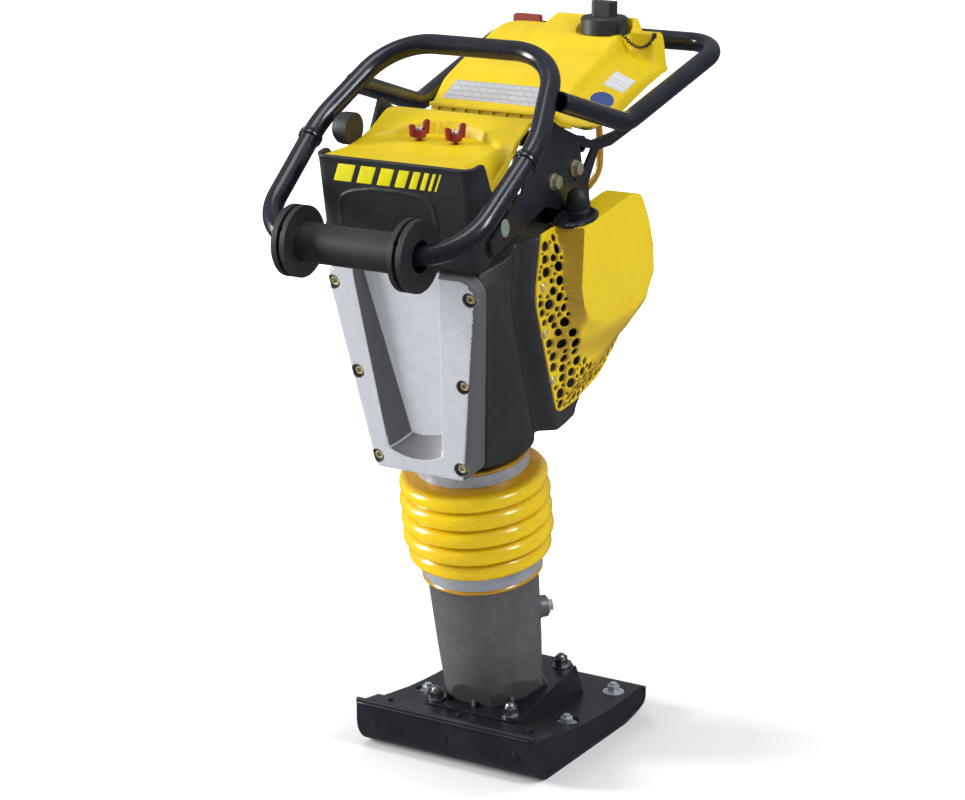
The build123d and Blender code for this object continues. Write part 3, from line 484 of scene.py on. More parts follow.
def relief(name, outline, top, bottom, place, slot, body, spacing=3.0, soft=2.0, holes=(), hole_soft=0.6,
           sharp=32.0, material=None, lines=()):
    """A moulded part: a flat outline with holes, whose two faces follow height functions of (a, b)."""
    loops = [divided(np.array(outline, float), spacing)] + [np.array(hole, float) for hole in holes]
    points = np.concatenate(loops)
    edges = []
    first = 0
    for loop in loops:
        count = len(loop)
        edges += [(first + index, first + (index + 1) % count) for index in range(count)]
        first += count
    extra = []
    for index, loop in enumerate(loops):
        radius = soft if index == 0 else hole_soft
        along = np.roll(loop, -1, axis=0) - np.roll(loop, 1, axis=0)
        along /= np.linalg.norm(along, axis=1)[:, None] + 1e-12
        area = (loop[:, 0] * np.roll(loop[:, 1], -1) - np.roll(loop[:, 0], -1) * loop[:, 1]).sum()
        inward = np.stack([-along[:, 1], along[:, 0]], 1) * (1 if area > 0 else -1)
        if index:
            inward = -inward
        for share in (0.12, 0.4, 1.0):
            ring = loop + inward * radius * share
            kept = gap_to(ring, loops) > 0.85 * radius * share
            extra.append(ring[kept])
    low = loops[0].min(0)
    high = loops[0].max(0)
    rows = np.arange(low[1], high[1], spacing * 0.866)
    grid = np.array([(low[0] + spacing * (column + 0.5 * (row % 2)), level)
                     for row, level in enumerate(rows)
                     for column in range(int((high[0] - low[0]) / spacing) + 1)])
    grid = grid[gap_to(grid, loops) > 0.5 * spacing + 0.3]
    grid = grid[gap_to(grid, loops[:1]) > soft + 0.3 * spacing]
    extra.append(grid)
    for line in lines:
        extra.append(np.array(line, float))
    extra = np.concatenate(extra)
    kept = inside(extra, loops[0])
    for loop in loops[1:]:
        kept &= ~inside(extra, loop)
    points = np.concatenate([points, extra[kept]])
    found = delaunay_2d_cdt([Vector(point) for point in points], edges, [], 0, 1e-4)
    flat = np.array([tuple(point) for point in found[0]])
    triangles = np.array([face for face in found[2] if len(face) == 3])
    middles = flat[triangles].mean(1)
    kept = inside(middles, loops[0])
    for loop in loops[1:]:
        kept &= ~inside(middles, loop)
    triangles = triangles[kept]
    used = np.unique(triangles)
    remap = np.full(len(flat), -1)
    remap[used] = np.arange(len(used))
    triangles = remap[triangles]
    flat = flat[used]
    a = flat[:, 0]
    b = flat[:, 1]
    upper = level(top, a, b) - round_drop(gap_to(flat, loops[:1]), soft)
    if len(loops) > 1:
        upper = upper - round_drop(gap_to(flat, loops[1:]), hole_soft)
    lower = np.minimum(level(bottom, a, b), upper - 0.2)
    solid = np.concatenate([place(a, b, upper), place(a, b, lower)])
    count = len(flat)
    faces = [tuple(int(i) for i in triangle) for triangle in triangles]
    owners = {}
    for triangle in faces:
        for step in range(3):
            pair = (triangle[step], triangle[(step + 1) % 3])
            owners[tuple(sorted(pair))] = owners.get(tuple(sorted(pair)), []) + [pair]
    walls = []
    for pairs in owners.values():
        if len(pairs) == 1:
            start, end = pairs[0]
            walls.append((end, start, start + count, end + count))
    under = [(c + count, b_ + count, a_ + count) for a_, b_, c in faces]
    return finish_mesh(name, solid, faces + under + walls, slot, body, sharp, material)


def tube(name, path, radius, slot, body, closed=False, sides=12, place=world_place, sharp=40.0,
         material=None):
    """A round bar swept along a path, with capped ends; radius may be one number or one per point."""
    path = np.asarray(place(np.asarray(path, float)))
    count = len(path)
    if closed:
        along = np.roll(path, -1, axis=0) - np.roll(path, 1, axis=0)
    else:
        along = np.gradient(path, axis=0)
    along /= np.linalg.norm(along, axis=1)[:, None]
    radii = np.full(count, radius, float) if np.isscalar(radius) else np.asarray(radius, float)
    normal = np.cross(along[0], (0.31, 0.52, 0.79))
    normal /= np.linalg.norm(normal)
    points = []
    for index in range(count):
        normal = normal - along[index] * np.dot(normal, along[index])
        normal /= np.linalg.norm(normal)
        side = np.cross(along[index], normal)
        for step in range(sides):
            angle = 2 * math.pi * step / sides
            points.append(path[index] + radii[index] * (math.cos(angle) * normal + math.sin(angle) * side))
    faces = []
    for index in range(count if closed else count - 1):
        this = index * sides
        after = (index + 1) % count * sides
        for step in range(sides):
            turn = (step + 1) % sides
            faces.append((this + step, this + turn, after + turn, after + step))
    if not closed:
        faces.append(tuple(range(sides)))
        faces.append(tuple(range(len(points) - sides, len(points))))
    return finish_mesh(name, points, faces, slot, body, sharp, material)


def spun(name, profile, slot, body, sides=96, place=ram_place, closed=True, sharp=32.0, material=None):
    """A profile of (radius, height) points turned about the axis; closed profiles make a ring."""
    profile = np.asarray(profile, float)
    points = []
    for step in range(sides):
        angle = 2 * math.pi * step / sides
        ring = np.stack([profile[:, 0] * math.cos(angle), profile[:, 0] * math.sin(angle), profile[:, 1]], 1)
        points.append(ring)
    points = place(np.concatenate(points))
    count = len(profile)
    faces = []
    for step in range(sides):
        this = step * count
        after = (step + 1) % sides * count
        for index in range(count if closed else count - 1):
            turn = (index + 1) % count
            faces.append((this + index, this + turn, after + turn, after + index))
    return finish_mesh(name, points, faces, slot, body, sharp, material)


def curve_points(points, count=60):
    """A smooth open curve through the points (Catmull-Rom)."""
    points = [np.array(point, float) for point in points]
    points = [2 * points[0] - points[1]] + points + [2 * points[-1] - points[-2]]
    result = []
    spans = len(points) - 3
    for step in range(count + 1):
        t = step / count * spans
        index = min(int(t), spans - 1)
        t -= index
        p0, p1, p2, p3 = points[index:index + 4]
        result.append(0.5 * (2 * p1 + (p2 - p0) * t + (2 * p0 - 5 * p1 + 4 * p2 - p3) * t * t
                             + (3 * p1 - p0 - 3 * p2 + p3) * t ** 3))
    return np.array(result)


# ---------------------------------------------------------------- fuel tank
TANK_EDGE = ((24, 868), (32, 872), (39, 876), (62, 899), (72, 904), (103, 917), (140, 931), (168, 940),
             (190, 949), (218, 955), (250, 957))
WELL = (40.0, 210.0, 38.0)          # filler well: x, y, radius
TANK_RIDGE = 72.0                   # where the tank's raised middle ends and the right lobe begins


def tank_top(x, y):
    """Height of the tank: sloping apron, raised plateau, hand scoop, filler well and lower right lobe."""
    height = table(y, *TANK_EDGE)
    height = height - 8 * ease(x, 30, 70) * ease(y, 140, 205)
    plateau = 948 + (y - 165) * 0.31
    raised = ease(x, -56, -50) * ease(y, 150, 185)
    height = height + np.maximum(plateau - height, 0) * raised
    across = (x + 46) / 38
    scoop = np.clip(1 - across ** 2, 0, 1) ** 0.5
    floor = 9 * scoop * ease(y, 92, 150) * (1 - ease(y, 162.5, 164.5))
    height = height - floor
    lobe_in = table(y, (24, 864), (61, 882), (127, 907), (188, 929), (250, 936))
    lobe_out = table(y, (24, 858), (81, 877), (109, 888), (137, 896), (195, 908), (250, 914))
    lobe = lobe_in + (lobe_out - lobe_in) * np.clip((x - 84) / 42, 0, 1)
    bar = ease(y, 211, 217) * (1 - ease(x, 110, 120))
    lobe = lobe + (955 - lobe) * bar
    share = ease(x, TANK_RIDGE, TANK_RIDGE + 10)
    height = height + (lobe - height) * share
    reach = np.hypot(x - WELL[0], y - WELL[1])
    well = 1 - ease(reach, WELL[2] - 2.5, WELL[2])
    return height + (952 - height) * np.minimum(well, 1)


def tank_bottom(x, y):
    return np.interp(y, [24, 84, 170, 250], [860, 861, 890, 912]) - 2 * ease(x, 0, 60) * (1 - ease(y, 40, 80))


def fuel_tank():
    outline = rounded([(-126, 25), (118, 25), (126, 42), (126, 247), (-126, 247)], [10, 14, 16, 22, 30], 8)
    tank = relief("tank_shell", outline, tank_top, tank_bottom, facing_up, "yellow_plastic", "handle",
                  2.6, 7.0, sharp=50)
    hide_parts("fuel_tank")
    lip = rounded([(-124, 21.5), (70, 21.5), (70, 31), (-124, 31)], 3)
    relief("tank_lip", lip, 871.5, 866.5, facing_up, "yellow_plastic",
           "handle", 3.0, 2.0)
    for index in range(9):
        x = -112 + index * 21
        rib = rounded([(x, 23), (x + 2.4, 23), (x + 2.4, 29), (x, 29)], 0.5)
        relief("tank_lip_rib_%d" % index, rib, 868, 858.5, facing_up,
               "yellow_plastic", "handle", 3.0, 0.4)


# ---------------------------------------------------------------- filter hood
def hood_swell(y):
    return table(y, (-262, 845), (-200, 847), (-178, 851), (-160, 856), (-142, 863), (-124, 873), (-110, 881),
                 (-98, 883.5), (-84, 882), (-60, 876), (-30, 869), (4, 861))


def hood_top(x, y):
    """Height of the filter hood: a swell across the back with a flat knob deck cut into its front."""
    swell = hood_swell(y)
    deck = 846.5 + (y + 245) * 0.095
    arch = -119 - (x / 108) ** 2 * 52
    pocket = 1 - ease(y, arch - 1.2, arch + 1.2)
    inner = 1 - ease(np.abs(x), 84, 100)
    height = swell + (np.minimum(deck, swell) - swell) * pocket * inner
    trough = ease(x, 88, 107) * ease(y, -247, -226) * (1 - ease(y, -180, -142))
    return height - 26 * trough


def filter_hood():
    outline = rounded([(-109, -257), (109, -257), (109, 3), (-109, 3)], [6, 6, 8, 8], 6)
    holes = [circle(side * 26.7, -156, 4.3, 20) for side in (-1, 1)]
    hood = relief("hood_shell", outline, hood_top, lambda x, y: hood_top(x, y) - 4, facing_up,
                  "yellow_plastic", "handle", 2.6, 2.5, holes=holes, sharp=50)
    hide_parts("filter_hood")
    flap = rounded([(-242, 846), (-232, 833), (-221, 808), (-210, 801.5), (-197, 801.5), (-186, 808),
                    (-160, 842), (-134, 862), (-150, 852), (-176, 836), (-200, 820), (-226, 834)],
                   [2, 10, 10, 8, 8, 10, 12, 1, 8, 12, 10, 8], 5)
    relief("hood_flap", flap, 111.0, 106.0, facing_side, "yellow_plastic",
           "handle", 2.4, 1.6)


# ---------------------------------------------------------------- front cover
def cover_left(s):
    return np.interp(s, [486, 727], [-45, -69])


def cover_right(s):
    return np.interp(s, [484, 726], [37, 58])


def cover_low(x):
    return 477 + 0.006 * (x + 3) ** 2


def cover_top(x, s):
    """Forward height of the crankcase front cover, with its long recessed panel."""
    left = (x - cover_left(s)) / np.interp(s, [505, 720], [31, 5])
    right = (cover_right(s) - x) / 9.0
    below = (s - cover_low(x)) / 29.0
    wall = np.clip(np.minimum(np.minimum(left, right), below), 0, 1)
    chamfer = np.clip((np.abs(x) - np.interp(s, [458, 720], [65, 108])) / 10, 0, 1)
    return 125.0 - 17.0 * wall - 7.0 * chamfer


def parting(s):
    """How far forward of the ram axis the cover meets the crankcase."""
    return 84 + (s - 457) * 0.066


COVER_SCREWS = [(side * x, s) for x, s in ((63, 473), (79, 591), (100.5, 712)) for side in (-1, 1)]


def front_cover():
    right = [(62, 456), (74, 462), (112, 720), (98, 738)]
    outline = rounded(right + [(-x, s) for x, s in reversed(right)], [10, 8, 8, 10, 10, 8, 8, 10], 6)

    def top(x, s):
        height = cover_top(x, s)
        for sx, ss in COVER_SCREWS:
            reach = np.hypot(x - sx, s - ss)
            height = height - 8 * (1 - ease(reach, 8.6, 9.6))
        edge = gap_to(np.stack([x, s], 1), [outline])
        return height - 2.0 * (1 - ease(edge, 0.5, 3.5))

    rings = []
    for sx, ss in COVER_SCREWS:
        for radius in (8.4, 9.1, 9.8, 10.6):
            rings.append(circle(sx, ss, radius, 40))
    s = np.arange(505, 737, 1.6)
    for offset in (-0.35, 0.35):
        rings.append(np.stack([cover_left(s) + offset, s], 1))
        rings.append(np.stack([cover_left(s) + np.interp(s, [505, 720], [31, 5]) + offset, s], 1))
        rings.append(np.stack([cover_right(s) + offset, s], 1))
        rings.append(np.stack([cover_right(s) - 9 + offset, s], 1))
        x = np.arange(-43, 36, 1.6)
        rings.append(np.stack([x, cover_low(x) + offset], 1))
        rings.append(np.stack([x, cover_low(x) + 29 + offset], 1))
    cover = relief("crankcase_cover", outline, top, lambda x, s: parting(s), facing_front, "cover_casting",
                   "housing", 2.6, 1.6, sharp=26, lines=rings)
    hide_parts("front_cover")
    heads = [(ram_place(np.array([[x, -117.0, s]]))[0], -RAM_REAR) for x, s in COVER_SCREWS]
    screw_set("cover_screw_heads", heads, "cover_screws")


def screw_set(name, heads, node):
    """Socket-head screws with a flat washer, at the given points and facing the given ways."""
    rings = ((-3.0, 8.0, 0), (0.6, 8.0, 0), (0.9, 7.7, 0), (0.9, 5.9, 0), (4.6, 5.9, 0), (5.4, 5.2, 0),
             (5.4, 4.1, 0), (5.0, 3.2, 1), (0.8, 3.2, 1))
    sides = 30
    points = []
    faces = []
    for centre, way in heads:
        way = np.array(way, float)
        across = np.cross(way, (0.0, 0.6, 0.8))
        across /= np.linalg.norm(across)
        upright = np.cross(way, across)
        start = len(points)
        for height, radius, is_hex in rings:
            for step in range(sides):
                angle = 2 * math.pi * step / sides
                wedge = (angle + math.pi / 6) % (math.pi / 3) - math.pi / 6
                reach = radius / math.cos(wedge) if is_hex else radius
                around = math.cos(angle) * across + math.sin(angle) * upright
                points.append(np.array(centre) + way * height + around * reach)
        for row in range(len(rings) - 1):
            for step in range(sides):
                turn = (step + 1) % sides
                base = start + row * sides
                faces.append((base + step, base + turn, base + sides + turn, base + sides + step))
        faces.append(tuple(range(start, start + sides)))
        faces.append(tuple(range(start + (len(rings) - 1) * sides, start + len(rings) * sides)))
    piece = finish_mesh(name, np.array(points), faces, "yellow_zinc", "housing", 30)
    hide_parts(node)


# ---------------------------------------------------------------- muffler guard
GUARD_OUTLINE = ((-6, 759), (-34, 682), (-4, 510), (45, 508), (113, 517), (169, 545), (218, 585),
                 (251, 583), (262, 607), (265, 644), (222, 735), (170, 757.5))
GUARD_SCREWS = ((-16, 693), (-18, 630), (-8, 561))
CROWN = ((35, 757), (17, 684), (22, 655), (40, 633), (80, 617), (154, 608), (188, 612), (206, 634),
         (208, 665), (200, 705), (192, 735), (180, 770), (30, 770))


def guard_top(u, s):
    """Outward height of the guard: a bowed rim that steps up to one smooth raised block."""
    points = np.stack([u, s], 1)
    crown = np.array(CROWN, float)
    gap = np.where(inside(points, crown), 0, gap_to(points, [crown]))
    below = 5 + 58 * ease(650 - s, -8, 52)
    wall = below + (56 - below) * ease(u, 185, 215)
    rise = 1 - ease(gap, 0, wall)
    rim = gap_to(points, [np.array(GUARD_OUTLINE, float)])
    base = 140.5 + 18 * ease(rim, 0, 52)
    crown_height = 180 - 3 * ease(700 - s, 0, 90)
    return base + (crown_height - base) * rise


def guard_bottom(u, s):
    """A 3 mm shell, closed down to the mounting plane along its top and rear edges."""
    points = np.stack([u, s], 1)
    rim = gap_to(points, [np.array(GUARD_OUTLINE, float)])
    upper = guard_top(u, s) - 3.2
    top_wall = ease(s, 751, 753) * ease(u, 22, 28)
    rear_wall = (1 - ease(rim, 3, 6)) * ease(u, 190, 215)
    return upper + (138 - upper) * np.maximum(top_wall, rear_wall)


def organic_holes(outline):
    """Round and egg-shaped cooling holes of mixed sizes, packed into the strip round the block."""
    chance = random.Random(11)
    holes = []
    placed = []
    rim = divided(np.array(outline, float), 3.0)
    crown = divided(np.array(CROWN, float), 3.0)
    for wanted, tries in ((6.4, 2500), (5.2, 6000), (4.1, 12000), (3.1, 16000), (2.2, 16000)):
        for _ in range(tries):
            u = chance.uniform(-34, 262)
            s = chance.uniform(508, 757)
            size = wanted * chance.uniform(0.85, 1.1)
            strip = float(np.interp(s, (535, 580, 632, 684, 757), (60, 31, 17, 15, 22)))
            shelf = float(np.interp(u, (-20, 35, 90, 165, 230), (600, 576, 541, 548, 578)))
            if (u > strip and s > shelf) or s > 748:
                continue
            if any(math.hypot(u - pu, s - ps) < size + pr + 1.2 for pu, ps, pr in placed):
                continue
            point = np.array([[u, s]])
            if not inside(point, rim)[0] or gap_to(point, [rim])[0] < size + 2.2:
                continue
            if inside(point, crown)[0] or gap_to(point, [crown])[0] < size + 2.8:
                continue
            if any(math.hypot(u - su, s - ss) < size + 9.5 for su, ss in GUARD_SCREWS):
                continue
            placed.append((u, s, size))
            holes.append(circle(u, s, size * 0.92, 16 if size > 3.4 else 12, 1.14, chance.uniform(-0.5, 0.5)))
    return holes


def muffler_guard():
    outline = rounded(GUARD_OUTLINE + ((34, 757.5),), [6, 20, 16, 8, 20, 20, 14, 8, 12, 26, 20, 12, 6], 6)
    # the guard's material carries painted shade on its front-facing walls and lower slope
    guard = relief("guard_shell", outline, guard_top, guard_bottom, facing_right,
                   "yellow_plastic", "housing", 3.0, 2.2, organic_holes(outline), 0.9, sharp=50,
                   material="guard_yellow_painted_shade", lines=[divided(np.array(CROWN, float), 1.6)])
    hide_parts("muffler_guard")
    seats = np.array(GUARD_SCREWS, float)
    heights = guard_top(seats[:, 0], seats[:, 1]) - 3.6
    places = facing_right(seats[:, 0], seats[:, 1], heights)
    screw_set("guard_screw_heads", [(place, SIDE) for place in places], "guard_screws")


def guard_liner():
    """The dark heat shield just behind the guard's holes."""
    outline = rounded(GUARD_OUTLINE, 12)
    middle = np.array([110.0, 640.0])
    outline = middle + (outline - middle) * 0.968
    relief("guard_liner", outline, 137.0, 135.6, facing_right,
           "black_steel", "housing", 8.0, 0.5)


# ---------------------------------------------------------------- crankcase
def facing_left(a, b, w):
    """A relief seen from the left in the ram frame: a is u, b is s, w is how far to the left."""
    return ram_place(np.stack([-w, a, b], 1))


def case_half(s):
    return np.interp(s, [456, 470, 720, 738], [73, 78, 110.5, 100])


def wing_top(u, s):
    """Side of the crankcase: a flat flank, a rounded ridge, a groove and a flared rim for the guard."""
    front = -parting(s)
    rim = np.interp(s, [486, 510, 682, 759], [0, -5, -35, -7])
    t = np.clip((u - front) / (rim - front), 0, 1.3)
    half = case_half(s)
    flank = half + (119.5 - half) * ease(t, -0.05, 0.62)
    groove = -4.5 * ease(t, 0.62, 0.76)
    flare = (138.5 - 114.5) * ease(t, 0.78, 0.99)
    return flank + groove + flare + (138.5 - 139.0) * ease(t, 0.98, 1.0)


CRANK_S = 640.0
ENGINE_S = 552.7


def crankcase():
    right = [(62, 456), (73, 463), (110.5, 720), (98, 738)]
    left = [(-x, s) for x, s in reversed(right)]
    cavity = [(-59, 456), (-60, 478), (-90, 712), (-80, 726), (80, 726), (90, 712), (60, 478), (59, 456)]
    walls = rounded(right + left + cavity, [1, 10, 10, 12, 12, 10, 10, 1] + [1] * 8, 6)
    body = relief("crankcase_body", walls, lambda x, s: parting(s) - 0.4, -46, facing_front,
                  "case_casting", "housing", 6.0, 1.2)
    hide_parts("crankcase")
    back = rounded(right + left + [(-38, 456), (-38, 500), (38, 500), (38, 456)],
                   [1, 10, 10, 12, 12, 10, 10, 1] + [1] * 4, 6)
    relief("crankcase_back", back, -46, -60, facing_front, "case_casting",
           "housing", 6.0, 0.4, holes=[circle(0, CRANK_S, 30, 40), circle(0, ENGINE_S, 20, 32)])
    low_edge = [(-83, 458), (-60, 463), (-38, 476), (-22, 488), (14, 487), (44, 489), (50, 500), (60, 506)]
    wing = rounded([(60, 748), (22, 751), (-7, 758), (-60, 742), (-101, 736)] + low_edge,
                   [4, 10, 8, 14, 4, 3, 10, 14, 10, 8, 8, 6, 3], 6)
    relief("crankcase_flank", wing, wing_top, lambda u, s: np.minimum(case_half(s) - 6, wing_top(u, s) - 6),
           facing_right, "case_casting", "housing", 3.0, 1.6, sharp=50)
    ear = rounded([(20, 734), (62, 734), (128, 728), (132, 752), (120, 776), (90, 778)],
                  [4, 4, 12, 12, 14, 10])
    for name, place in (("right", facing_right), ("left", facing_left)):
        relief("mount_ear_" + name, ear, 92, 78, place, "case_casting",
               "housing", 5.0, 2.0, holes=[circle(105, 753, 6, 24)], hole_soft=0.8)
    collar = [(60, 404), (71.5, 404), (71.5, 437), (74, 446), (79, 456), (82, 470), (60, 470)]
    spun("crankcase_neck", collar, "case_casting", "housing", 96)


# ---------------------------------------------------------------- leg
LEG_BASE = ((-52, -43), (-30, -50), (27, -50), (52, -12), (64, 42), (60, 66), (38, 80), (-38, 80), (-62, 66),
            (-68, 42), (-66, -10))
LEG_LEVELS = (71, 118, 150, 235, 246, 251, 282, 283)
LEG_RADII = (67, 69.5, 71.5, 75, 75, 76.5, 76.5, 75.8)


def leg_shell():
    """The leg casting: a slightly tapered tube, its foot cut by flat facets that each end in an arch."""
    sides = 180
    angles = np.arange(sides) * 2 * math.pi / sides
    rays = np.stack([np.cos(angles), np.sin(angles)], 1)
    base = np.array(LEG_BASE, float)
    reach = np.full(sides, 1e9)
    for start, end in zip(base, np.roll(base, -1, axis=0)):
        edge = end - start
        normal = np.array([edge[1], -edge[0]]) / np.linalg.norm(edge)
        facing = rays @ normal
        reach = np.where(facing > 1e-6, np.minimum(reach, (start @ normal) / np.maximum(facing, 1e-6)), reach)
    rows = []
    levels = list(np.arange(71, 130, 1.5)) + [135, 150, 180, 210, 235, 246, 248.5, 251, 266, 282, 283]
    for s in levels:
        round_part = float(np.interp(s, LEG_LEVELS, LEG_RADII))
        facet = reach * (1 + 0.0088 * (s - 71)) + 1.0
        blend = np.minimum(facet, round_part)
        rows.append(np.stack([rays[:, 0] * blend, rays[:, 1] * blend, np.full(sides, s)], 1))
    for radius, s in ((64.5, 283), (64, 281), (64, 200), (62, 200), (62, 106)):
        rows.append(np.stack([rays[:, 0] * radius, rays[:, 1] * radius, np.full(sides, float(s))], 1))
    points = ram_place(np.concatenate(rows))
    faces = []
    for row in range(len(rows) - 1):
        for step in range(sides):
            turn = (step + 1) % sides
            this = row * sides
            faces.append((this + step, this + turn, this + sides + turn, this + sides + step))
    faces.append(tuple(range(sides)))
    faces.append(tuple(range((len(rows) - 1) * sides, len(rows) * sides)))
    leg = finish_mesh("leg_shell", points, faces, "leg_casting", "foot", 24)
    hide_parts("leg_cylinder")
    turn = math.radians(40)
    out = np.array([math.cos(turn), math.sin(turn), 0.0])
    reach = (64, 69, 71.5, 73, 75, 82, 83.2, 84)
    radii = (21, 20, 18, 16.2, 15.3, 15, 14.5, 13)
    tube("leg_boss", [out * distance + np.array([0, 0, 185.0]) for distance in reach], radii, "leg_casting",
         "foot", sides=40, place=ram_place, sharp=40)
    for index, (x, u) in enumerate(((0, -51), (-44, -30), (44, -30), (60, 30), (-60, 30))):
        away = np.array([x, u, 0.0]) / math.hypot(x, u)
        rib = [np.array([x, u, s]) + away * out_by
               for s, out_by in ((71.0, -6), (71.0, 7), (73.0, 7), (92.0, -1), (92.0, -6))]
        across = np.cross(away, (0, 0, 1.0)) * 2.6
        corners = [point + across for point in rib] + [point - across for point in rib]
        count = len(rib)
        sheet = [tuple(range(count)), tuple(range(2 * count - 1, count - 1, -1))]
        sheet += [(step, (step + 1) % count, (step + 1) % count + count, step + count)
                  for step in range(count)]
        finish_mesh("leg_rib_%d" % index, ram_place(np.array(corners)), sheet, "leg_casting", "foot")


# ---------------------------------------------------------------- small parts round the mounts
def mounts():
    """The black mount beside the guard, its dish, the air inlet dome and a plain round sticker."""
    dome = [(17, 0), (17, 2.5), (15.8, 4), (15.2, 10), (14.6, 18), (12.5, 25), (8, 30), (0.6, 32), (0.6, 0)]
    spun("mount_bell", dome, "black_rubber", "housing", 48,
         lambda points: ram_place(points + np.array([143, 88, 758])))

    def dish_top(x, u):
        reach = np.hypot((x - 152) / 27, (u - 64) / 36)
        return 759.5 + 3.5 * ease(reach, 0.62, 0.8) - 2.5 * ease(reach, 0.86, 1.0)

    oval = circle(152, 64, 27, 48)
    oval = np.stack([oval[:, 0], 64 + (oval[:, 1] - 64) * 36 / 27], 1)
    relief("mount_dish", oval, dish_top, 756.5,
           lambda a, b, w: ram_place(np.stack([a, b, w], 1)), "tube_coat", "housing", 2.5, 0.8)
    place = (-119, -180, 866)
    cap = [(21, -10), (21, 4), (20, 9), (16.5, 13.5), (11, 16.5), (5, 18), (0.6, 18.4), (0.6, -10)]

    def across(points):
        turned = np.stack([-points[:, 2], points[:, 0], points[:, 1]], 1)
        return world_place(turned + np.array(place))

    spun("air_inlet_dome", cap, "black_rubber", "handle", 48, across)
    oval = circle(-196, 765, 9.5, 32, 1.25, 0.4)
    relief("round_sticker", oval, 123.7, 123.0, facing_side, "charcoal_plastic", "handle", 4.0, 0.2,
           material="round_sticker")


def shoe_bead():
    """The rolled bead along the shoe's front top edge."""
    tube("shoe_bead", [(x, -146.0, 64.5) for x in np.linspace(-138, 138, 40)],
         [1.2] + [2.6] * 38 + [1.2], "black_steel", "foot", sides=14)


def fuel_line():
    """The soft hose from the tank's outlet down to the carburettor."""
    path = curve_points([(60, 150, 883), (60, 154, 860), (60, 164, 815), (57, 165, 770), (36, 152, 741),
                         (0, 134, 730), (-40, 120, 726)], 80)
    hose = tube("fuel_line", path, 4.9, "amber_hose", None, sides=16)
    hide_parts("fuel_hose")
    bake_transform(hose)
    turns = np.arange(60) * 2 * math.pi * 2.5 / 60
    wire = np.stack([60 + 5.6 * np.cos(turns), 151 + 5.6 * np.sin(turns), 873 + np.arange(60) / 10], 1)
    tube("hose_clip", wire, 0.8, "zinc", "handle", sides=8)


KNOB_Y = -156.0


def wing_knobs():
    """The hood's two wing knobs: a dished hub, a steel nut and two upright wings set across the hub."""
    turn = math.radians(65)
    along = np.array([math.cos(turn), math.sin(turn)])
    across = np.array([-math.sin(turn), math.cos(turn)])
    hub = [(0.6, 842), (4, 842), (4, 859), (8.2, 859), (9, 860), (9, 867.5), (8.2, 869), (6, 869),
           (5.2, 868), (0.6, 868)]
    nut = [(0.6, 867.8), (4.2, 867.8), (4.2, 870.6), (3.6, 871.4), (2, 871.4), (2, 873.5), (0.6, 873.5)]
    for name, x, body in (("left", -26.7, "knob_left"), ("right", 26.7, "knob_right")):
        middle = np.array([x, KNOB_Y, 0.0])
        piece = spun("knob_hub_" + name, hub, "red_plastic", body, 40, lambda points, m=middle: points + m)
        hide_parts("wing_knob_" + name)
        spun("knob_nut_" + name, nut, "zinc", body, 6,
             lambda points, m=middle: points + m)

        def upright(a, b, w, m=middle):
            flat = np.outer(a, along) + np.outer(w, across)
            return np.stack([flat[:, 0], flat[:, 1], b], 1) + m

        for end, low, high in ((-1, 860, 877.5), (1, 862, 881.5)):
            wing = [(end * 5, low + 1), (end * 13.5, low), (end * 15.2, high - 2), (end * 12, high),
                    (end * 7, high - 2.5)]
            wing = rounded(wing if end > 0 else wing[::-1], [1, 2, 1.5, 3, 2])
            relief("knob_wing_%s_%d" % (name, end > 0), wing, 2.2, -2.2,
                   upright, "red_plastic", body, 2.0, 0.8)


def engine_lines():
    """The throttle cable, the spark plug with its lead, and the intake bellows to the air filter."""
    cable = curve_points([(-102, 262, 930), (-100, 255, 905), (-96, 235, 860), (-92, 205, 800),
                          (-88, 180, 745), (-78, 150, 716), (-68, 134, 706)], 90)
    wire = tube("throttle_cable", cable, 2.4, "black_rubber", None, sides=12)
    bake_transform(wire)
    plug = [(0.6, 0), (7.5, 0), (7.5, 3), (5.5, 4), (5.5, 16), (8.5, 17), (8.5, 30), (7, 33), (0.6, 33)]

    def on_head(points):
        x, y, along = points.T
        return ram_place(np.stack([-20 + x, 172 + along * 0.8, 712 + y + along * 0.3], 1))

    spun("spark_plug_boot", plug, "black_rubber", "housing", 32, on_head)
    lead = curve_points([(-20, 196, 721), (-10, 204, 716), (16, 208, 690), (30, 200, 655), (34, 184, 628)],
                        50)
    tube("spark_lead", lead, 3.2, "black_rubber", "housing", sides=12, place=ram_place)
    path = curve_points([(-100, 135, 649), (-112, 134, 660), (-114, 128, 690), (-104, 112, 716),
                         (-84, 96, 728)], 96)
    radii = [15 + 1.8 * math.cos(step * math.pi / 3) for step in range(len(path))]
    tube("intake_duct", path, radii, "black_rubber", "housing", sides=32, place=ram_place)


def starter_rope():
    path = [(x, 208, 582.7) for x in np.linspace(-60, -78, 13)]
    rope = tube("starter_rope", path, 1.9, "black_rubber", None, sides=10, place=ram_place)
    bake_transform(rope)


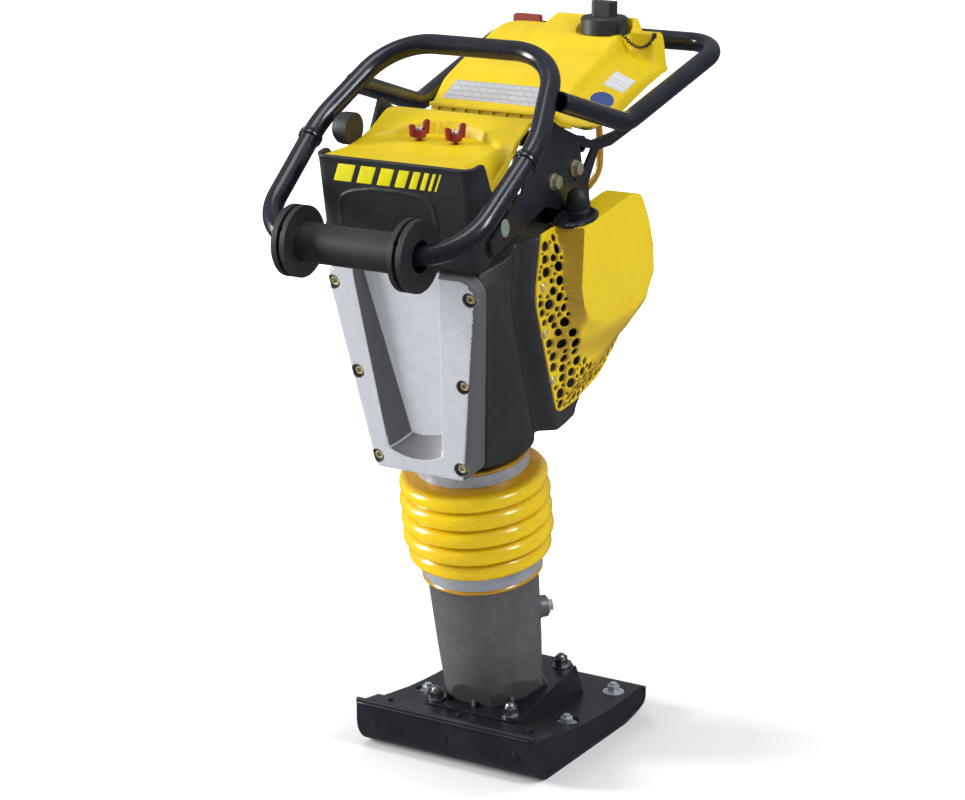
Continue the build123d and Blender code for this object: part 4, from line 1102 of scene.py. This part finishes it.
# ---------------------------------------------------------------- bellows and springs
def bellows():
    """Five fat convolutions with tight grooves between two cuffs."""
    low = 283.0
    high = 412.0
    pitch = (high - low) / 5
    outer = [(77, 258), (80.5, 258), (82.3, 259.5), (82.3, 262), (80.8, 263.5), (79.6, 265), (79.6, 279)]
    for ridge in range(5):
        crest = (97.0, 102.0, 102.0, 102.0, 100.0)[ridge]
        for step in range(17):
            t = -1 + 2 * (step + 0.5) / 17
            swell = (1 - abs(t) ** 2.3) ** 0.52
            root = 80.0 if ridge == 0 and t < 0 else 76.5 if ridge == 4 and t > 0 else 88.5
            outer.append((root + (crest - root) * swell, low + pitch * (ridge + (t + 1) / 2)))
    outer += [(74.6, 415), (74.6, 431), (76, 432), (77.4, 433.5), (77.4, 435.5), (76, 436.5), (72.3, 436.5)]
    inner = [(72.0, 414)] + [(radius - 3.0, s) for radius, s in reversed(outer[7:-7])] + [(76.8, 279)]
    piece = spun("bellows_skin", outer + inner, "yellow_bellows", None, 128)
    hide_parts("bellows")
    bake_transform(piece)


BOX_FLOOR = 112.0
BOX_TOP = 312.0
PISTON_LOW = 190.0
PISTON_HIGH = 206.0
PAD = 23.0                          # length of each pad
PAD_GAP = 0.1
PAD_RADIUS = 40.0


def springs():
    """The spring packs under and over the piston, as wound wire with flattened ends.

    Each pack stops PAD short of the piston, and a rubber pad fills the space. The pads are invented: they are
    here because one piece can't follow both the foot and the piston. At the limits of the piston's travel the
    pack that the piston leaves stands clear of it, where a spring would follow.
    """
    lower = (BOX_FLOOR, PISTON_LOW - PAD)
    upper = (PISTON_HIGH + PAD, BOX_TOP)
    for name, radius, wire, turns, (low, high), node in (
        ("lower_outer", 37, 3.0, 4.5, lower, "lower_springs"), ("lower_inner", 22, 2.0, 6.5, lower, None),
        ("upper_outer", 37, 3.0, 5.5, upper, "upper_springs"), ("upper_inner", 24, 2.0, 8.5, upper, None),
    ):
        count = int(turns * 28)
        path = []
        for step in range(count + 1):
            t = step / count
            angle = 2 * math.pi * turns * t
            climb = np.clip((t * turns - 0.75) / (turns - 1.5), 0, 1)
            s = low + wire + (high - low - 2 * wire) * climb
            path.append((radius * math.cos(angle), radius * math.sin(angle), s))
        piece = tube("spring_" + name, path, wire, "spring_steel", None, place=ram_place, sides=10)
        if node:
            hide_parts(node)
        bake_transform(piece)
    for name, inner, low, high in (("lower", 19.5, lower[1], PISTON_LOW),
                                   ("upper", 21.5, PISTON_HIGH, upper[0])):
        low += PAD_GAP
        high -= PAD_GAP
        waist = PAD_RADIUS - 1.5
        ring = [(inner, low), (PAD_RADIUS, low), (PAD_RADIUS, low + 4), (waist, low + 6), (waist, high - 6),
                (PAD_RADIUS, high - 4), (PAD_RADIUS, high), (inner, high)]
        pad = spun("spring_buffer_" + name, ring, "black_rubber", "housing", 64)
        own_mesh(pad)


# ---------------------------------------------------------------- front panel
PANEL_HALF = 115.0
PANEL_CORNER = 15.0


def panel_place(a, b, w):
    """Wraps a flat drawing round the tray's front: a runs from one side wall over the front to the other."""
    flat = PANEL_HALF - PANEL_CORNER
    side = np.sign(a)
    over = np.abs(a) - flat
    turn = np.clip(over / PANEL_CORNER, 0, math.pi / 2)
    straight = np.maximum(over - PANEL_CORNER * math.pi / 2, 0)
    x = np.where(over < 0, np.abs(a), flat + PANEL_CORNER * np.sin(turn))
    u = -115 + PANEL_CORNER * (1 - np.cos(turn)) + straight
    x = (x + w * np.sin(turn)) * side
    u = u - w * np.cos(turn)
    return ram_place(np.stack([x, u, b], 1))


ARCH = curve_points([(-83, 775), (-84, 800), (-82, 820), (-72, 831), (-45, 838), (-8, 840.5), (28, 838.5),
                     (48, 833), (56, 822), (58, 800), (58, 775)], 120)


def front_panel():
    right = [(100, 879), (136, 879), (143, 871), (151, 838), (160, 827), (174, 825), (184, 832), (188, 822),
             (188, 792), (160, 762), (128, 748), (110, 744)]
    corners = [4, 6, 6, 12, 10, 10, 6, 6, 12, 10, 10, 8]
    outline = rounded(right + [(-a, b) for a, b in reversed(right)], corners + corners[::-1], 5)

    def top(a, b):
        gap = gap_to(np.stack([a, b], 1), [ARCH], closed=False)
        return 1.3 * (1 - ease(gap, 0.6, 2.6)) + 1.2 * ease(b, 873.5, 875)

    rings = [ARCH + np.array([0, shift]) for shift in (-2.5, -1.2, 0, 1.2, 2.5)]
    panel = relief("panel_shell", outline, top, -3.5, panel_place, "charcoal_plastic", "handle",
                   3.0, 1.2, sharp=50, lines=rings)
    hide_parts("front_panel")
    bars = ((-84, 26), (-50, 22), (-20, 19), (6, 15), (27, 10.5), (43, 7), (55, 4.5), (64.5, 2.6))
    for index, (a, wide) in enumerate(bars):
        shape = rounded([(a - 5, 847), (a - 5 + wide, 847), (a + 5 + wide, 870), (a + 5, 870)], 0.6, 2)
        relief("panel_stripe_%d" % index, shape, 0.35, 0.02, panel_place,
               "yellow_plastic", "handle", 4.0, 0.2, material="stripe_film")


# ---------------------------------------------------------------- stickers, chain and collars
def tank_stickers():
    """A plain grey plate with thin ruled boxes, a plain patch and a plain disc, all without text."""
    for name, outline, rise, finish in (
        ("tank_label", rounded([(-113, 37.5), (62, 37.5), (56, 60.5), (-104, 60.5)], 2.5), 0.45,
         "label_film"),
        ("tank_patch", rounded([(91, 113), (121, 113), (121, 150), (91, 150)], 1.5), 0.4, "patch_film"),
        ("tank_disc", circle(106, 84, 15.5, 40, 1.05), 0.4, "disc_film"),
    ):
        relief(name, outline, lambda x, y, up=rise: tank_top(x, y) + up, lambda x, y: tank_top(x, y) - 0.4,
               facing_up, "yellow_plastic", "handle", 2.6, 0.25, material=finish)


def chain():
    """The filler cap's tether: small oval links that hang from the cap to the rear of the lobe."""
    path = curve_points([(66, 196, 968), (78, 193, 955), (90, 196, 943), (99, 203, 938), (106, 212, 941),
                         (113, 217, 952)], 23)
    for index in range(len(path) - 1):
        middle = (path[index] + path[index + 1]) / 2
        along = path[index + 1] - path[index]
        length = np.linalg.norm(along)
        along = along / length
        side = np.cross(along, (0, 0, 1.0))
        side /= np.linalg.norm(side)
        up = np.cross(side, along)
        if index % 2:
            side, up = up, side
        ring = []
        for step in range(16):
            angle = 2 * math.pi * step / 16
            ring.append(middle + along * math.cos(angle) * length * 0.72 + side * math.sin(angle) * 1.9)
        tube("chain_link_%02d" % index, ring, 0.75, "black_rubber", "handle", closed=True, sides=6)
    tube("chain_anchor", [(113, 217, 950), (113, 217, 956.5)], 3.2, "black_rubber", "handle")
    tube("chain_eye", [(66, 196, 963), (66, 196, 971)], 3.0, "black_rubber", "handle")


def collars():
    """Black clamp rings round the hoop's arms."""
    for name, side in (("left", -1), ("right", 1)):
        start = np.array([side * 159.2, -206.0, 855.0])
        along = np.array([side * 12.5, 164.0, 119.2])
        along /= np.linalg.norm(along)
        offsets = (-5.0, -4.2, -1.2, -0.6, 0.6, 1.2, 4.2, 5.0)
        radii = (13.2, 15.2, 15.6, 14.6, 14.6, 15.6, 15.2, 13.2)
        tube("hoop_collar_" + name, [start + along * offset for offset in offsets], radii, "tube_coat",
             "handle", sides=40, sharp=35)


fuel_tank()
tank_stickers()
chain()
filter_hood()
front_panel()
collars()
front_cover()
muffler_guard()
guard_liner()
crankcase()
leg_shell()
mounts()
shoe_bead()
fuel_line()
wing_knobs()
engine_lines()
starter_rope()
bellows()
springs()


# ---------------------------------------------------------------- studio
# name, place, width, height, watts, colour
LIGHTS = (
    ("key", (-3.1, -1.7, 1.5), 0.8, 1.9, 160, (1.0, 0.985, 0.96)),
    ("fill", (2.6, -0.4, 2.7), 0.7, 1.5, 50, (0.96, 0.975, 1.0)),
    ("top", (-0.2, -0.6, 3.2), 1.2, 1.2, 17, (1.0, 1.0, 1.0)),
    ("back_left", (-1.9, 2.2, 1.7), 0.5, 2.0, 26, (1.0, 1.0, 1.0)),
    ("back_right", (2.2, 2.4, 1.9), 0.6, 2.0, 30, (1.0, 1.0, 1.0)),
)


FLOOR_HALF = 14.0                   # metres
AIM = Vector((0, 0, 0.55))          # what the lights point at


def studio():
    """A pale floor and soft lights."""
    shader = Shader("studio_floor")
    haze = shader.noise(3, 2, 0.5)
    far = shader.vector("LENGTH", shader.place, out=1)
    seen = shader.add("ShaderNodeLightPath")
    glow = shader.sum(0.06, shader.times(seen, shader.span(far, 0.35, 1.3, 0.0, 1.0)))
    pale = shader.mix(haze, (0.88, 0.88, 0.88), (0.85, 0.85, 0.855))
    floor_mat = shader.finish(Base_Color=pale, Roughness=0.9, Emission_Color=(1, 1, 1),
                              Emission_Strength=glow, Specular_IOR_Level=0.0)
    mesh = bpy.data.meshes.new("floor")
    corners = [(x * FLOOR_HALF, y * FLOOR_HALF, 0) for x, y in ((-1, -1), (1, -1), (1, 1), (-1, 1))]
    mesh.from_pydata(corners, [], [(0, 1, 2, 3)])
    mesh.materials.append(floor_mat)
    floor = placed_object("floor", mesh)
    floor.visible_glossy = False
    world = bpy.data.worlds.new("world")
    bpy.context.scene.world = world
    world.use_nodes = True
    tree = world.node_tree
    background = tree.nodes["Background"]
    coords = tree.nodes.new("ShaderNodeTexCoord").outputs["Generated"]
    split = tree.nodes.new("ShaderNodeSeparateXYZ")
    tree.links.new(coords, split.inputs[0])
    ramp = tree.nodes.new("ShaderNodeValToRGB")
    ramp.color_ramp.elements[0].position = 0.42
    ramp.color_ramp.elements[0].color = (0.11, 0.115, 0.13, 1)
    ramp.color_ramp.elements[1].position = 0.95
    ramp.color_ramp.elements[1].color = (0.42, 0.44, 0.47, 1)
    shift = tree.nodes.new("ShaderNodeMapRange")
    shift.inputs[1].default_value = -1.0
    tree.links.new(split.outputs[2], shift.inputs[0])
    tree.links.new(shift.outputs[0], ramp.inputs[0])
    ray_kind = tree.nodes.new("ShaderNodeLightPath").outputs["Is Camera Ray"]
    blend = tree.nodes.new("ShaderNodeMix")
    blend.data_type = "RGBA"
    tree.links.new(ray_kind, blend.inputs[0])
    tree.links.new(ramp.outputs[0], blend.inputs[6])
    blend.inputs[7].default_value = (1, 1, 1, 1)
    tree.links.new(blend.outputs[2], background.inputs[0])
    background.inputs[1].default_value = 1.0
    for name, place, wide, tall, power, tone in LIGHTS:
        light = bpy.data.lights.new(name, "AREA")
        light.shape = "RECTANGLE"
        light.size = wide
        light.size_y = tall
        light.energy = power
        light.color = tone
        lamp = placed_object(name, light)
        lamp.location = place
        aim = AIM - Vector(place)
        lamp.rotation_mode = "QUATERNION"
        lamp.rotation_quaternion = aim.to_track_quat("-Z", "Y")
        lamp.visible_glossy = not name.startswith("back")


CAMERA_AZIMUTH = 30.93              # degrees
CAMERA_ELEVATION = 15.65            # degrees
CAMERA_LENS = 99.37                 # mm, on a 36 mm sensor
CAMERA_PLACE = (1.7579, -2.9784, 1.4485)


def camera():
    """The photograph's view, from in front of the machine, to its right and a little above."""
    azimuth = math.radians(CAMERA_AZIMUTH)
    elevation = math.radians(CAMERA_ELEVATION)
    back = Vector((math.sin(azimuth) * math.cos(elevation), -math.cos(azimuth) * math.cos(elevation),
                   math.sin(elevation)))
    data = bpy.data.cameras.new("camera")
    data.sensor_width = 36
    data.lens = CAMERA_LENS
    eye = placed_object("camera", data)
    eye.location = CAMERA_PLACE
    eye.rotation_mode = "QUATERNION"
    eye.rotation_quaternion = (-back).to_track_quat("-Z", "Y")
    bpy.context.scene.camera = eye
    bpy.context.scene.view_settings.view_transform = "Standard"


studio()
camera()
